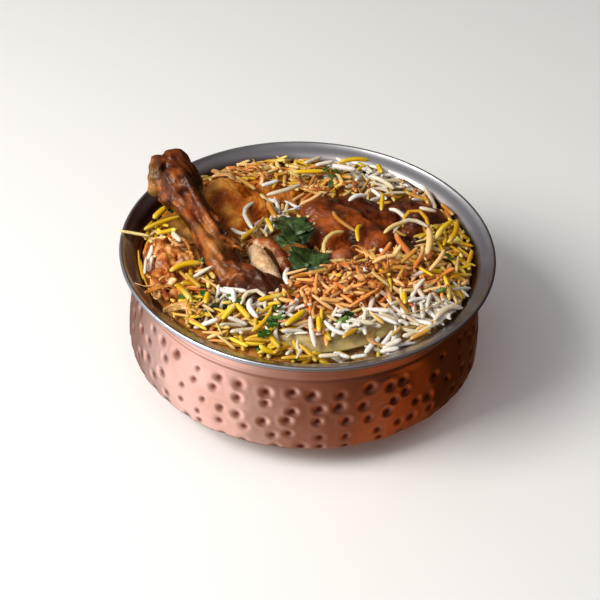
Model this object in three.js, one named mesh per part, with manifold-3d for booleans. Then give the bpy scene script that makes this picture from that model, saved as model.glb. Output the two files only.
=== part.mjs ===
import * as THREE from 'three';
import { mergeVertices } from 'three/addons/utils/BufferGeometryUtils.js';
import Module from 'manifold-3d';

// Chicken biryani in its round handi: a hammered copper shell over a steel liner with a wide brim.
// Millimetres, +Z up. The origin is the middle of the flat base; the drumstick points to -X, +Y.

// Handi
const rimRadius = 95;
const rimHeight = 70;
const beadRadius = 1.1;
const baseRadius = 48;
const bellyRadius = 91.5;
const bellyHeight = 16;
const bellyPower = 1.5;
const bellySteps = 5;
const sideSteps = 3;
const coveSteps = 3;
const neckRadius = 86.7;
const grooveHeight = 55.2;
const grooveDepth = 0.5;
const grooveHalf = 0.8;
const neckTop = 59.5;
const coveRadius = 5.5;
const brimSlope = 24 * Math.PI / 180;
const brimEnd = 92.9;
const copperWall = 1.4;
const steelWall = 1.2;
const gap = 0.3;
const latheSegments = 36;

// Rice heap
const riceEdge = 64.5;
const riceRings = 8;
const crown = 3;
const mounds = [
  { x: 28, y: -36, wide: 36, deep: 17, rise: 7 },
  { x: 62, y: -36, wide: 12, deep: 14, rise: 3 },
  { x: -58, y: -22, wide: 15, deep: 26, rise: 3 },
  { x: -66, y: 22, wide: 12, deep: 16, rise: 3 },
  { x: -12, y: -56, wide: 22, deep: 12, rise: 2.5 },
  { x: 14, y: 64, wide: 40, deep: 10, rise: 3 },
  { x: 70, y: 10, wide: 9, deep: 18, rise: 3 },
  { x: 51, y: 9, wide: 8, deep: 8, rise: -8 },
  { x: 35, y: -77, wide: 26, deep: 9, rise: -12 },
  { x: -2, y: -10, wide: 14, deep: 12, rise: -3 },
];
const lumpSize = 0.5;

const steelLook = { color: 0x9c9a9d, roughness: 0.32, metalness: 1 };
const copperLook = { color: 0xb06a50, roughness: 0.35, metalness: 1 };
const riceLook = { color: 0xd9a04e, roughness: 0.75, metalness: 0 };
const chickenLook = { color: 0x8a3d16, roughness: 0.4, metalness: 0 };
const fleshLook = { color: 0xc89a70, roughness: 0.5, metalness: 0 };
const leafLook = { color: 0x2c4a1c, roughness: 0.55, metalness: 0 };
const bayLook = { color: 0xb8a862, roughness: 0.5, metalness: 0 };

const wasm = await Module();
wasm.setup();

// Geometry helpers
function closed(geometry) {
  const bare = geometry.index ? geometry : geometry.clone();
  bare.deleteAttribute('normal');
  bare.deleteAttribute('uv');
  return mergeVertices(bare, 1e-4);
}

function solidOf(geometry) {
  const merged = closed(geometry);
  const vertProperties = new Float32Array(merged.attributes.position.array);
  const triVerts = new Uint32Array(merged.index.array);
  return new wasm.Manifold(new wasm.Mesh({ numProp: 3, vertProperties, triVerts }));
}

function geometryOf(solid) {
  const mesh = solid.getMesh();
  const geometry = new THREE.BufferGeometry();
  geometry.setAttribute('position', new THREE.BufferAttribute(mesh.vertProperties, 3));
  geometry.setIndex(new THREE.BufferAttribute(mesh.triVerts, 1));
  geometry.computeVertexNormals();
  return geometry;
}

function moveVertices(geometry, place) {
  const positions = geometry.attributes.position;
  const point = new THREE.Vector3();
  for (let i = 0; i < positions.count; i++) {
    point.fromBufferAttribute(positions, i);
    place(point);
    positions.setXYZ(i, point.x, point.y, point.z);
  }
  return geometry;
}

// LatheGeometry turns about Y, so its result is stood up along +Z.
function turned(profile, segments) {
  const points = profile.map(([radius, height]) => new THREE.Vector2(radius, height));
  return new THREE.LatheGeometry(points, segments).rotateX(Math.PI / 2);
}

// Outside line of the handi from the middle of the base to the end of the brim, as [radius, height].
function outsideLine() {
  const line = [[0, 0], [baseRadius, 0]];
  for (let i = 1; i <= bellySteps; i++) {
    const angle = Math.sin(i / bellySteps * Math.PI / 2) * Math.PI / 2;
    const out = Math.pow(Math.sin(angle), 2 / bellyPower);
    const up = 1 - Math.pow(Math.max(Math.cos(angle), 0), 2 / bellyPower);
    line.push([baseRadius + (bellyRadius - baseRadius) * out, bellyHeight * up]);
  }
  for (let i = 1; i <= sideSteps; i++) {
    const down = 1 - i / sideSteps;
    const swell = (bellyRadius - neckRadius) * Math.sin(down * Math.PI / 2);
    line.push([neckRadius + swell, grooveHeight - (grooveHeight - bellyHeight) * down]);
  }
  line.push([neckRadius, neckTop]);
  for (let i = 1; i <= coveSteps; i++) {
    const angle = (Math.PI / 2 - brimSlope) * i / coveSteps;
    line.push([
      neckRadius + coveRadius * (1 - Math.cos(angle)),
      neckTop + coveRadius * Math.sin(angle),
    ]);
  }
  const [coveEnd, coveHeight] = line[line.length - 1];
  line.push([brimEnd, coveHeight + (brimEnd - coveEnd) * Math.tan(brimSlope)]);
  return line;
}

// The outside line moved into the wall by `inset`, square to each of its stretches.
function wallLine(inset) {
  const line = outsideLine();
  const normals = line.slice(1).map(([radius, height], i) => {
    const across = new THREE.Vector2(line[i][1] - height, radius - line[i][0]);
    return across.normalize();
  });
  return line.map(([radius, height], i) => {
    const before = normals[Math.max(i - 1, 0)];
    const after = normals[Math.min(i, normals.length - 1)];
    const middle = before.clone().add(after).normalize();
    const push = inset / middle.dot(after);
    return [i === 0 ? 0 : radius + push * middle.x, height + push * middle.y];
  });
}

// Copper shell: the wall line with a spun groove below the plain neck band.
function copperShell() {
  const outside = outsideLine();
  const grooveIndex = 1 + bellySteps + sideSteps;
  outside.splice(grooveIndex, 1,
    [neckRadius, grooveHeight - grooveHalf],
    [neckRadius - grooveDepth, grooveHeight],
    [neckRadius, grooveHeight + grooveHalf]);
  const inside = wallLine(copperWall).reverse();
  return turned([...outside, ...inside], latheSegments);
}

// Steel liner: the inner wall, the sloped brim and the rolled bead that caps it.
function steelLiner() {
  const outside = wallLine(copperWall + gap);
  const inside = wallLine(copperWall + gap + steelWall).reverse();
  const beadSteps = 6;
  const bead = [];
  for (let i = 0; i <= beadSteps; i++) {
    const angle = (-125 + 270 * i / beadSteps) * Math.PI / 180;
    bead.push([
      rimRadius - beadRadius + beadRadius * Math.cos(angle),
      rimHeight - beadRadius + beadRadius * Math.sin(angle),
    ]);
  }
  return turned([...outside, ...bead, ...inside], latheSegments);
}

// Rice heap: fills the liner and rises to an uneven top.
function riceRelief(x, y) {
  const across = Math.hypot(x, y) / neckRadius;
  let height = crown * (1 - across * across);
  for (const mound of mounds) {
    const reach = ((x - mound.x) / mound.wide) ** 2 + ((y - mound.y) / mound.deep) ** 2;
    height += mound.rise * Math.exp(-reach);
  }
  height += lumpSize * Math.sin(x * 0.31 + y * 0.17) + lumpSize * Math.sin(y * 0.37 - x * 0.11);
  return height;
}

const foodInset = copperWall + steelWall + 2 * gap;

function riceHeap() {
  const wall = wallLine(foodInset);
  const lower = wall.filter(([, height]) => height < riceEdge - 1);
  const [edgeRadius] = lower[lower.length - 1];
  const profile = [...lower];
  for (let ring = 0; ring <= riceRings; ring++) {
    const radius = (edgeRadius + 0.6) * (1 - ring / riceRings);
    profile.push([radius, riceEdge]);
  }
  const heap = turned(profile, latheSegments);
  const flatTop = riceEdge - 0.01;
  return moveVertices(heap, (point) => {
    if (point.z > flatTop) point.z += riceRelief(point.x, point.y);
  });
}

// The room that the liner leaves for food, open far above the rim.
function foodRoom() {
  const ceiling = 2 * rimHeight;
  return solidOf(turned([...wallLine(foodInset), [brimEnd, ceiling], [0, ceiling]], latheSegments));
}

// A rounded lump: a ball whose radius along each direction is a soft maximum over its lobes.
// Every lobe is a ball { at: [x, y, z], size } given from the lump's middle.
function lump(middle, lobes, grow = 0) {
  const ball = closed(new THREE.SphereGeometry(1, 16, 10));
  const blend = 9;
  const lobeAt = new THREE.Vector3();
  return moveVertices(ball, (point) => {
    let sum = 0;
    for (const lobe of lobes) {
      lobeAt.set(...lobe.at);
      const along = point.dot(lobeAt);
      const inside = along * along - lobeAt.lengthSq() + lobe.size * lobe.size;
      if (inside > 0) sum += Math.pow(Math.max(along + Math.sqrt(inside), 0), blend);
    }
    const radius = Math.pow(sum, 1 / blend) + grow;
    point.multiplyScalar(radius).add(middle);
  });
}

// A limb: a closed tube of changing radius along a smooth line.
function limb(stations, grow = 0) {
  const curve = new THREE.CatmullRomCurve3(stations.map(({ at }) => new THREE.Vector3(...at)));
  const tube = closed(new THREE.CylinderGeometry(1, 1, 1, 12, 14));
  const up = new THREE.Vector3(0, 0, 1);
  return moveVertices(tube, (point) => {
    const t = point.y + 0.5;
    const place = t * (stations.length - 1);
    const i = Math.min(Math.floor(place), stations.length - 2);
    const mix = THREE.MathUtils.smoothstep(place - i, 0, 1);
    const radius = stations[i].radius + (stations[i + 1].radius - stations[i].radius) * mix;
    const middle = curve.getPoint(t);
    const tangent = curve.getTangent(t);
    const side = new THREE.Vector3().crossVectors(tangent, up).normalize();
    const lift = new THREE.Vector3().crossVectors(side, tangent);
    middle.addScaledVector(tangent, grow * Math.round(2 * t - 1));
    const reach = radius + grow;
    const across = point.x * reach;
    const above = point.z * reach;
    point.copy(middle).addScaledVector(side, across).addScaledVector(lift, above);
  });
}

// A leaf: a thin closed blade with a pointed tip, a folded midrib and a toothed edge.
function leaf({ length, width, thick, fold, droop, teeth, tooth }, grow = 0) {
  const blade = closed(new THREE.BoxGeometry(1, 1, 1, 11, 2, 1));
  return moveVertices(blade, (point) => {
    const u = point.x + 0.5;
    const v = point.y * 2;
    const shape = Math.pow(Math.sin(Math.PI * (0.03 + 0.94 * Math.pow(u, 0.8))), 0.75);
    const edge = 1 + tooth * Math.sin(u * teeth * Math.PI * 2);
    const half = width / 2 * shape * (Math.abs(v) > 0.9 ? edge : 1) + grow;
    const bow = fold * Math.abs(v) * shape * width / 2 - droop * (2 * u - 1) ** 2;
    const along = (u - 0.5) * (length + 2 * grow);
    point.set(along, v * half, bow + point.z * (thick + 2 * grow));
  });
}

function placed(geometry, [x, y, z], [turnX, turnY, turnZ]) {
  const turn = new THREE.Euler(turnX, turnY, turnZ, 'ZYX');
  return geometry.applyMatrix4(new THREE.Matrix4().makeRotationFromEuler(turn)).translate(x, y, z);
}

// Chicken
const drumstickStations = [
  { at: [-74, 33, 88], radius: 8 },
  { at: [-71.5, 29, 86], radius: 12 },
  { at: [-65, 20.5, 82.5], radius: 10.5 },
  { at: [-58, 11, 78.5], radius: 7.2 },
  { at: [-51, 0, 74.5], radius: 7.8 },
  { at: [-43.5, -12, 70.5], radius: 9.6 },
  { at: [-38, -21, 67.5], radius: 10.6 },
  { at: [-34, -28, 65], radius: 8 },
];
const knuckle = {
  middle: [-72, 30, 86],
  lobes: [
    { at: [0, 0, 0], size: 11 },
    { at: [0, 3, 5], size: 7.5 },
    { at: [-4, 1, 3], size: 7 },
    { at: [-3, -5, -4], size: 7 },
  ],
};
const legMeat = {
  middle: [-21, -31, 59],
  lobes: [
    { at: [0, 0, 0], size: 13.5 },
    { at: [-7, 2, 1], size: 12 },
    { at: [7, -3, -1], size: 11 },
  ],
};
const tornPiece = {
  middle: [-15, -22, 62],
  lobes: [
    { at: [-7, 8, 3], size: 7 },
    { at: [-3, 1, 3], size: 8 },
    { at: [4, -6, 1], size: 7.5 },
    { at: [7, -15, -1], size: 6.5 },
  ],
};
const centrePiece = {
  middle: [20, 20, 58],
  lobes: [
    { at: [0, 0, 0], size: 18 },
    { at: [-13, 12, 3], size: 13.5 },
    { at: [3, 18, 2], size: 13 },
    { at: [-9, -8, 3], size: 13 },
    { at: [15, -9, 3], size: 12.5 },
    { at: [18, 10, 2], size: 12 },
    { at: [-2, -24, 4.5], size: 9.5 },
  ],
};
const rightPiece = {
  middle: [58, 34, 57],
  lobes: [
    { at: [0, 0, 0], size: 14 },
    { at: [-9, 6, 0], size: 12.5 },
    { at: [9, -3, 0], size: 10.5 },
    { at: [-3, -9, 0], size: 10 },
  ],
};
const backPiece = {
  middle: [-42, 36, 57],
  lobes: [
    { at: [0, 0, 0], size: 17 },
    { at: [3, -14, 0], size: 11.5 },
    { at: [-5, 11, 1], size: 13 },
    { at: [13, 12, 0], size: 12 },
  ],
};

function pieceSolid({ middle, lobes }, grow = 0) {
  return solidOf(lump(new THREE.Vector3(...middle), lobes, grow));
}

function drumstick(grow = 0) {
  const shaft = solidOf(limb(drumstickStations, grow));
  return shaft.add(pieceSolid(knuckle, grow)).add(pieceSolid(legMeat, grow));
}

// Leaves
const mintLarge = { length: 32, width: 21, thick: 0.7, fold: 0.22, droop: 2, teeth: 5, tooth: 0.12 };
const mintSmall = { length: 22, width: 18, thick: 0.7, fold: 0.2, droop: 1.5, teeth: 4, tooth: 0.1 };
const bayBlade = { length: 64, width: 11, thick: 0.7, fold: 0.1, droop: 0, teeth: 0, tooth: 0 };
const bayPlace = { angle: -74 * Math.PI / 180, spine: 70, height: 65, tilt: 0.75, climb: 0.05 };

function mintLeafLarge(grow = 0) {
  return placed(leaf(mintLarge, grow), [-6, 6, 73.5], [0.1, 0.05, 1.0]);
}

function mintLeafSmall(grow = 0) {
  return placed(leaf(mintSmall, grow), [1, -17.5, 70.6], [0.15, 0.05, 0.5]);
}

// The bay leaf leans on the liner's wall, so its length is wrapped along a circle about the axis.
function bayLeaf(grow = 0) {
  const { angle, spine, height, tilt, climb } = bayPlace;
  return moveVertices(leaf(bayBlade, grow), (point) => {
    const inward = point.y * Math.cos(tilt) - point.z * Math.sin(tilt);
    const rise = point.y * Math.sin(tilt) + point.z * Math.cos(tilt);
    const turn = angle + point.x / spine;
    const radius = spine - inward;
    point.set(radius * Math.cos(turn), radius * Math.sin(turn), height + rise + climb * point.x);
  });
}

// Assembly: pieces that lie on each other are cut with the usual clearance between them.
const handi = new THREE.Group();

function addNode(name, geometry, look) {
  const mesh = new THREE.Mesh(geometry, new THREE.MeshStandardMaterial(look));
  mesh.name = name;
  handi.add(mesh);
}

// The piece less every other solid given, each of them grown by the clearance.
function cutBy(solid, ...others) {
  return others.reduce((rest, other) => rest.subtract(other), solid);
}

const legRoom = drumstick(gap);
const centreRoom = pieceSolid(centrePiece, gap);
const leafRooms = [solidOf(mintLeafLarge(gap)), solidOf(mintLeafSmall(gap))];
const leg = drumstick();
const centre = cutBy(pieceSolid(centrePiece), ...leafRooms);
const torn = cutBy(pieceSolid(tornPiece), legRoom, centreRoom, ...leafRooms);
const right = cutBy(pieceSolid(rightPiece).intersect(foodRoom()), centreRoom);
const back = cutBy(pieceSolid(backPiece), legRoom, centreRoom);
const rice = cutBy(
  solidOf(riceHeap()),
  legRoom,
  centreRoom,
  pieceSolid(tornPiece, gap),
  pieceSolid(rightPiece, gap),
  pieceSolid(backPiece, gap),
  solidOf(bayLeaf(gap)),
  ...leafRooms,
);

addNode('copper_shell', closed(copperShell()), copperLook);
addNode('steel_liner', closed(steelLiner()), steelLook);
addNode('rice_heap', geometryOf(rice), riceLook);
addNode('drumstick', geometryOf(leg), chickenLook);
addNode('chicken_torn_piece', geometryOf(torn), fleshLook);
addNode('chicken_centre', geometryOf(centre), chickenLook);
addNode('chicken_right', geometryOf(right), chickenLook);
addNode('chicken_back_left', geometryOf(back), chickenLook);
addNode('mint_leaf_large', closed(mintLeafLarge()), leafLook);
addNode('mint_leaf_small', closed(mintLeafSmall()), leafLook);
addNode('bay_leaf', closed(bayLeaf()), bayLook);

export default handi;
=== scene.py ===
import math
import random

import bmesh
import bpy
import numpy as np
from mathutils import Matrix, Vector, noise
from mathutils.bvhtree import BVHTree


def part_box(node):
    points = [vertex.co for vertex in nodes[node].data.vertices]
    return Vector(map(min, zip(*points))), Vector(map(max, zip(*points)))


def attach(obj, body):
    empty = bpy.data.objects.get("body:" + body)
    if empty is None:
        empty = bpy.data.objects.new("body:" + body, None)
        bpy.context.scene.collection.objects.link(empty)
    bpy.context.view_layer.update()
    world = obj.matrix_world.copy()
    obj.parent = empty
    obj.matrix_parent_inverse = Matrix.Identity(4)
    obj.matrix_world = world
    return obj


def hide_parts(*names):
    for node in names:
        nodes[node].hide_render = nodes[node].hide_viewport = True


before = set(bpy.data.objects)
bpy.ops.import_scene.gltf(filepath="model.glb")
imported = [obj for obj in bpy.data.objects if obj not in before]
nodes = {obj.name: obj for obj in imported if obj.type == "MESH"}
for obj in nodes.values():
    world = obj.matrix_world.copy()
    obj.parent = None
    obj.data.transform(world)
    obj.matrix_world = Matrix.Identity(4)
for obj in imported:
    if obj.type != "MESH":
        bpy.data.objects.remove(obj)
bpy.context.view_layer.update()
mm = 0.001
fullTurn = 6.3   # a little over one turn, in radians
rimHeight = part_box("steel_liner")[1].z
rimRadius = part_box("steel_liner")[1].x
print("frame loaded, rim", round(rimRadius, 4), round(rimHeight, 4))


# small helpers

def srgb(red, green, blue):
    # a colour given 0 to 255, as the linear colour that a shader takes
    def linear(value):
        share = value / 255
        return share / 12.92 if share <= 0.04045 else ((share + 0.055) / 1.055) ** 2.4
    return (linear(red), linear(green), linear(blue), 1.0)


def newPiece(name, mesh):
    piece = bpy.data.objects.new(name, mesh)
    bpy.context.scene.collection.objects.link(piece)
    mesh.polygons.foreach_set("use_smooth", [True] * len(mesh.polygons))
    mesh.update()
    return piece


def pieceFromBmesh(name, bm):
    mesh = bpy.data.meshes.new(name)
    bm.to_mesh(mesh)
    bm.free()
    return newPiece(name, mesh)


def settle(piece, material, slot, *replaced):
    piece.data.materials.clear()
    piece.data.materials.append(material)
    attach(piece, "root")
    for node in replaced:
        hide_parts(node)
    print("made", piece.name, len(piece.data.polygons), "faces")


def vectorsOf(mesh, name="co"):
    values = np.zeros(len(mesh.vertices) * 3, np.float32)
    mesh.vertices.foreach_get(name, values)
    return values.reshape(-1, 3).astype(float)


def setCoords(mesh, coords):
    mesh.vertices.foreach_set("co", np.asarray(coords, np.float32).ravel())
    mesh.update()


def bakeModifiers(piece):
    depsgraph = bpy.context.evaluated_depsgraph_get()
    mesh = bpy.data.meshes.new_from_object(piece.evaluated_get(depsgraph))
    piece.modifiers.clear()
    old = piece.data
    piece.data = mesh
    bpy.data.meshes.remove(old)


def remeshed(piece, voxel, passes):
    # one closed skin around everything in the piece, then smoothed
    remesh = piece.modifiers.new("remesh", "REMESH")
    remesh.mode = "VOXEL"
    remesh.voxel_size = voxel
    soften = piece.modifiers.new("soften", "SMOOTH")
    soften.factor = 0.5
    soften.iterations = passes
    bakeModifiers(piece)
    return piece


def addBalls(bm, balls):
    # each ball is its middle and its radius in mm
    for place, size in balls:
        bmesh.ops.create_uvsphere(bm, u_segments=24, v_segments=16, radius=size * mm,
                                  matrix=Matrix.Translation(Vector(place) * mm))


def nodeCopy(name, node, voxel, passes, balls=()):
    # the CAD piece, with more lumps pressed onto it
    bm = bmesh.new()
    bm.from_mesh(nodes[node].data)
    bmesh.ops.remove_doubles(bm, verts=bm.verts, dist=1e-6)
    addBalls(bm, balls)
    return remeshed(pieceFromBmesh(name, bm), voxel, passes)


def vertsAndFaces(bm):
    verts = np.array([vert.co[:] for vert in bm.verts])
    faces = [[vert.index for vert in face.verts] for face in bm.faces]
    bm.free()
    return verts, faces


def paint(mesh, name, colors):
    # one linear colour for each vertex, or one brightness
    if colors.ndim == 1:
        colors = np.stack([colors, colors, colors, np.ones(len(colors))], 1)
    layer = mesh.color_attributes.new(name, "FLOAT_COLOR", "POINT")
    layer.data.foreach_set("color", colors.astype(np.float32).ravel())


def noiseAt(coords, size, seed=0):
    # smooth noise from -1 to 1 at every point, with lumps about as large as size
    shift = Vector((seed * 7.31, seed * 3.17, seed * 5.73))
    return np.array([noise.noise(Vector(point) / size + shift) for point in coords])


def shaderOf(made):
    return made.node_tree.nodes["Principled BSDF"]


def setInputs(made, **values):
    for key, value in values.items():
        shaderOf(made).inputs[key.replace("_", " ")].default_value = value


def material(name, **values):
    made = bpy.data.materials.new(name)
    made.use_nodes = True
    setInputs(made, **values)
    return made


def addNode(made, kind, **values):
    node = made.node_tree.nodes.new(kind)
    for key, value in values.items():
        if hasattr(node, key):
            setattr(node, key, value)
        else:
            node.inputs[key.replace("_", " ")].default_value = value
    return node


def link(made, source, output, target, socket):
    made.node_tree.links.new(source.outputs[output], target.inputs[socket])


def noiseNode(made, scale, detail=4.0, stretch=(1, 1, 1)):
    coords = addNode(made, "ShaderNodeTexCoord")
    mapping = addNode(made, "ShaderNodeMapping")
    mapping.inputs["Scale"].default_value = stretch
    texture = addNode(made, "ShaderNodeTexNoise", Scale=scale, Detail=detail)
    link(made, coords, "Object", mapping, "Vector")
    link(made, mapping, "Vector", texture, "Vector")
    return texture


def rampNode(made, texture, output, *stops):
    ramp = addNode(made, "ShaderNodeValToRGB")
    elements = ramp.color_ramp.elements
    while len(elements) < len(stops):
        elements.new(0.5)
    for element, (place, color) in zip(elements, stops):
        element.position = place
        element.color = color
    link(made, texture, output, ramp, "Fac")
    return ramp


def bumpNode(made, texture, strength, distance):
    bump = addNode(made, "ShaderNodeBump", Strength=strength, Distance=distance)
    link(made, texture, "Fac", bump, "Height")
    link(made, bump, "Normal", shaderOf(made), "Normal")


def multiplied(made, first, second):
    # the base colour is one colour times the other
    mix = addNode(made, "ShaderNodeMix", data_type="RGBA", blend_type="MULTIPLY")
    mix.inputs[0].default_value = 1.0
    link(made, first, "Color", mix, 6)
    link(made, second, "Color", mix, 7)
    link(made, mix, 2, shaderOf(made), "Base Color")


def grey(value):
    return (value, value, value, 1.0)


# camera

camera = {"elevation": 39.2, "roll": 2.83, "distance": 677.7 * mm, "lens": 84.6,
          "aim": (-2.7 * mm, -45.7 * mm)}
lookAt = Vector((*camera["aim"], rimHeight))
tilt = math.radians(90 - camera["elevation"])
turn = Matrix.Rotation(tilt, 4, "X") @ Matrix.Rotation(math.radians(camera["roll"]), 4, "Z")
cameraData = bpy.data.cameras.new("camera")
cameraData.lens = camera["lens"]
cameraData.clip_start = 0.01
cameraObject = bpy.data.objects.new("camera", cameraData)
back = turn @ Vector((0, 0, camera["distance"]))
cameraObject.matrix_world = Matrix.Translation(lookAt + back) @ turn
bpy.context.scene.collection.objects.link(cameraObject)
bpy.context.scene.camera = cameraObject


# studio: pale floor, one large soft light from the upper left, and a room that is bright on that side

studio = {"floor": 6.0, "pale": srgb(236, 234, 231), "aimHeight": 0.04,
          "keyPower": 15.5, "keySize": 0.6, "keyPlace": (-0.80, -0.36, 0.78), "keyColor": (1.0, 0.98, 0.95),
          "fillPower": 1.4, "fillSize": 0.8, "fillPlace": (0.35, -0.2, 1.1), "fillColor": (1.0, 0.97, 0.94),
          "roomStrength": 1.9, "horizon": 0.12, "keySide": (-0.72, -0.31, 0.62),
          "tableSide": (-0.80, -0.30, -0.52), "warmSide": (0.70, -0.40, -0.60)}

floorMesh = bmesh.new()
bmesh.ops.create_grid(floorMesh, x_segments=8, y_segments=8, size=studio["floor"])
floor = pieceFromBmesh("floor", floorMesh)
floor.data.materials.append(material("paleFloor", Base_Color=studio["pale"], Roughness=0.8))
floor.visible_glossy = False


def areaLight(name):
    data = bpy.data.lights.new(name, "AREA")
    data.energy = studio[name + "Power"]
    data.size = studio[name + "Size"]
    data.color = studio[name + "Color"]
    light = bpy.data.objects.new(name, data)
    light.location = studio[name + "Place"]
    aim = Vector((0, 0, studio["aimHeight"])) - light.location
    light.rotation_euler = aim.to_track_quat("-Z", "Y").to_euler()
    bpy.context.scene.collection.objects.link(light)
    return light


areaLight("key")
areaLight("fill").visible_glossy = False

room = bpy.data.worlds.new("room")
bpy.context.scene.world = room
room.use_nodes = True
room.node_tree.nodes.clear()
roomCoords = addNode(room, "ShaderNodeTexCoord")


def roomGradient(direction, *stops):
    # brightness by how far a direction points to one side of the room, from -1 to 1
    dot = addNode(room, "ShaderNodeVectorMath", operation="DOT_PRODUCT")
    dot.inputs[1].default_value = Vector(direction).normalized()
    spread = addNode(room, "ShaderNodeMapRange", From_Min=-1)
    link(room, roomCoords, "Generated", dot, 0)
    link(room, dot, "Value", spread, "Value")
    return rampNode(room, spread, "Result", *[((place + 1) / 2, (*color, 1)) for place, color in stops])


above = roomGradient(studio["keySide"], (-0.4, (0.02, 0.012, 0.009)), (0.3, (0.09, 0.08, 0.085)),
                     (0.64, (0.2, 0.2, 0.21)), (1.0, (0.5, 0.49, 0.48)))
below = roomGradient(studio["tableSide"], (-0.3, (0.02, 0.009, 0.003)), (0.2, (0.11, 0.075, 0.052)),
                     (0.6, (0.2, 0.18, 0.17)), (0.84, (0.39, 0.52, 0.6)), (0.95, (0.76, 1.0, 1.26)))
warm = roomGradient(studio["warmSide"], (0.93, (0.0, 0.0, 0.0)), (0.99, (0.11, 0.035, 0.004)))
warmed = addNode(room, "ShaderNodeMix", data_type="RGBA", blend_type="ADD")
warmed.inputs[0].default_value = 1
link(room, below, "Color", warmed, 6)
link(room, warm, "Color", warmed, 7)
# the lower half of the room fades into the upper half, and the camera sees a plain pale wall
roomSplit = addNode(room, "ShaderNodeSeparateXYZ")
roomLevel = addNode(room, "ShaderNodeMapRange", From_Min=-studio["horizon"], From_Max=studio["horizon"])
roomMix = addNode(room, "ShaderNodeMix", data_type="RGBA")
roomLight = addNode(room, "ShaderNodeBackground", Strength=studio["roomStrength"])
plainLight = addNode(room, "ShaderNodeBackground", Color=studio["pale"])
seen = addNode(room, "ShaderNodeLightPath")
mixed = addNode(room, "ShaderNodeMixShader")
link(room, roomCoords, "Generated", roomSplit, 0)
link(room, roomSplit, "Z", roomLevel, "Value")
link(room, roomLevel, "Result", roomMix, 0)
link(room, warmed, 2, roomMix, 6)
link(room, above, "Color", roomMix, 7)
link(room, roomMix, 2, roomLight, "Color")
link(room, seen, "Is Camera Ray", mixed, "Fac")
link(room, roomLight, 0, mixed, 1)
link(room, plainLight, 0, mixed, 2)
link(room, mixed, 0, addNode(room, "ShaderNodeOutputWorld"), "Surface")
bpy.context.scene.view_settings.view_transform = "Standard"


# handi: the wall's outside line, and the same line moved in for each inner face

handi = {"baseRadius": 48 * mm, "bellyRadius": 91.5 * mm, "bellyHeight": 16 * mm, "bellyPower": 1.5,
         "neckRadius": 86.7 * mm, "grooveHeight": 55.2 * mm, "neckTop": 59.5 * mm,
         "coveRadius": 5.5 * mm, "brimSlope": math.radians(24), "brimEnd": 92.9 * mm,
         "beadRadius": 1.1 * mm, "copperWall": 1.4 * mm, "steelWall": 1.2 * mm, "gap": 0.3 * mm,
         "spinSteps": 720, "linerSteps": 256}


def outsideLine(bellySteps, sideSteps, coveSteps):
    line = [(0.0, 0.0), (handi["baseRadius"], 0.0)]
    for i in range(1, bellySteps + 1):
        angle = math.sin(i / bellySteps * math.pi / 2) * math.pi / 2
        out = math.sin(angle) ** (2 / handi["bellyPower"])
        up = 1 - max(math.cos(angle), 0) ** (2 / handi["bellyPower"])
        reach = handi["bellyRadius"] - handi["baseRadius"]
        line.append((handi["baseRadius"] + reach * out, handi["bellyHeight"] * up))
    for i in range(1, sideSteps + 1):
        down = 1 - i / sideSteps
        swell = (handi["bellyRadius"] - handi["neckRadius"]) * math.sin(down * math.pi / 2)
        height = handi["grooveHeight"] - (handi["grooveHeight"] - handi["bellyHeight"]) * down
        line.append((handi["neckRadius"] + swell, height))
    for i in range(1, 5):
        step = (handi["neckTop"] - handi["grooveHeight"]) / 4
        line.append((handi["neckRadius"], handi["grooveHeight"] + step * i))
    for i in range(1, coveSteps + 1):
        angle = (math.pi / 2 - handi["brimSlope"]) * i / coveSteps
        line.append((handi["neckRadius"] + handi["coveRadius"] * (1 - math.cos(angle)),
                     handi["neckTop"] + handi["coveRadius"] * math.sin(angle)))
    radius, height = line[-1]
    for i in range(1, 4):
        out = (handi["brimEnd"] - radius) * i / 3
        line.append((radius + out, height + out * math.tan(handi["brimSlope"])))
    return line


def movedIn(line, inset):
    normals = []
    for (r0, z0), (r1, z1) in zip(line, line[1:]):
        length = math.hypot(r1 - r0, z1 - z0)
        normals.append((-(z1 - z0) / length, (r1 - r0) / length))
    moved = []
    for i, (radius, height) in enumerate(line):
        before = normals[max(i - 1, 0)]
        after = normals[min(i, len(normals) - 1)]
        across = (before[0] + after[0], before[1] + after[1])
        size = math.hypot(*across)
        across = (across[0] / size, across[1] / size)
        push = inset / (across[0] * after[0] + across[1] * after[1])
        moved.append((0.0 if i == 0 else radius + push * across[0], height + push * across[1]))
    return moved


def spun(name, profile, steps):
    # profile starts and ends on the axis
    bm = bmesh.new()
    points = [bm.verts.new((radius, 0, height)) for radius, height in profile]
    edges = [bm.edges.new(pair) for pair in zip(points, points[1:])]
    bmesh.ops.spin(bm, geom=points + edges, cent=(0, 0, 0), axis=(0, 0, 1), dvec=(0, 0, 0),
                   angle=2 * math.pi, steps=steps, use_merge=True)
    bmesh.ops.remove_doubles(bm, verts=bm.verts, dist=1e-6)
    bmesh.ops.recalc_face_normals(bm, faces=bm.faces)
    return pieceFromBmesh(name, bm)


# copper shell, with hammered dimples pressed into its side

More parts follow.
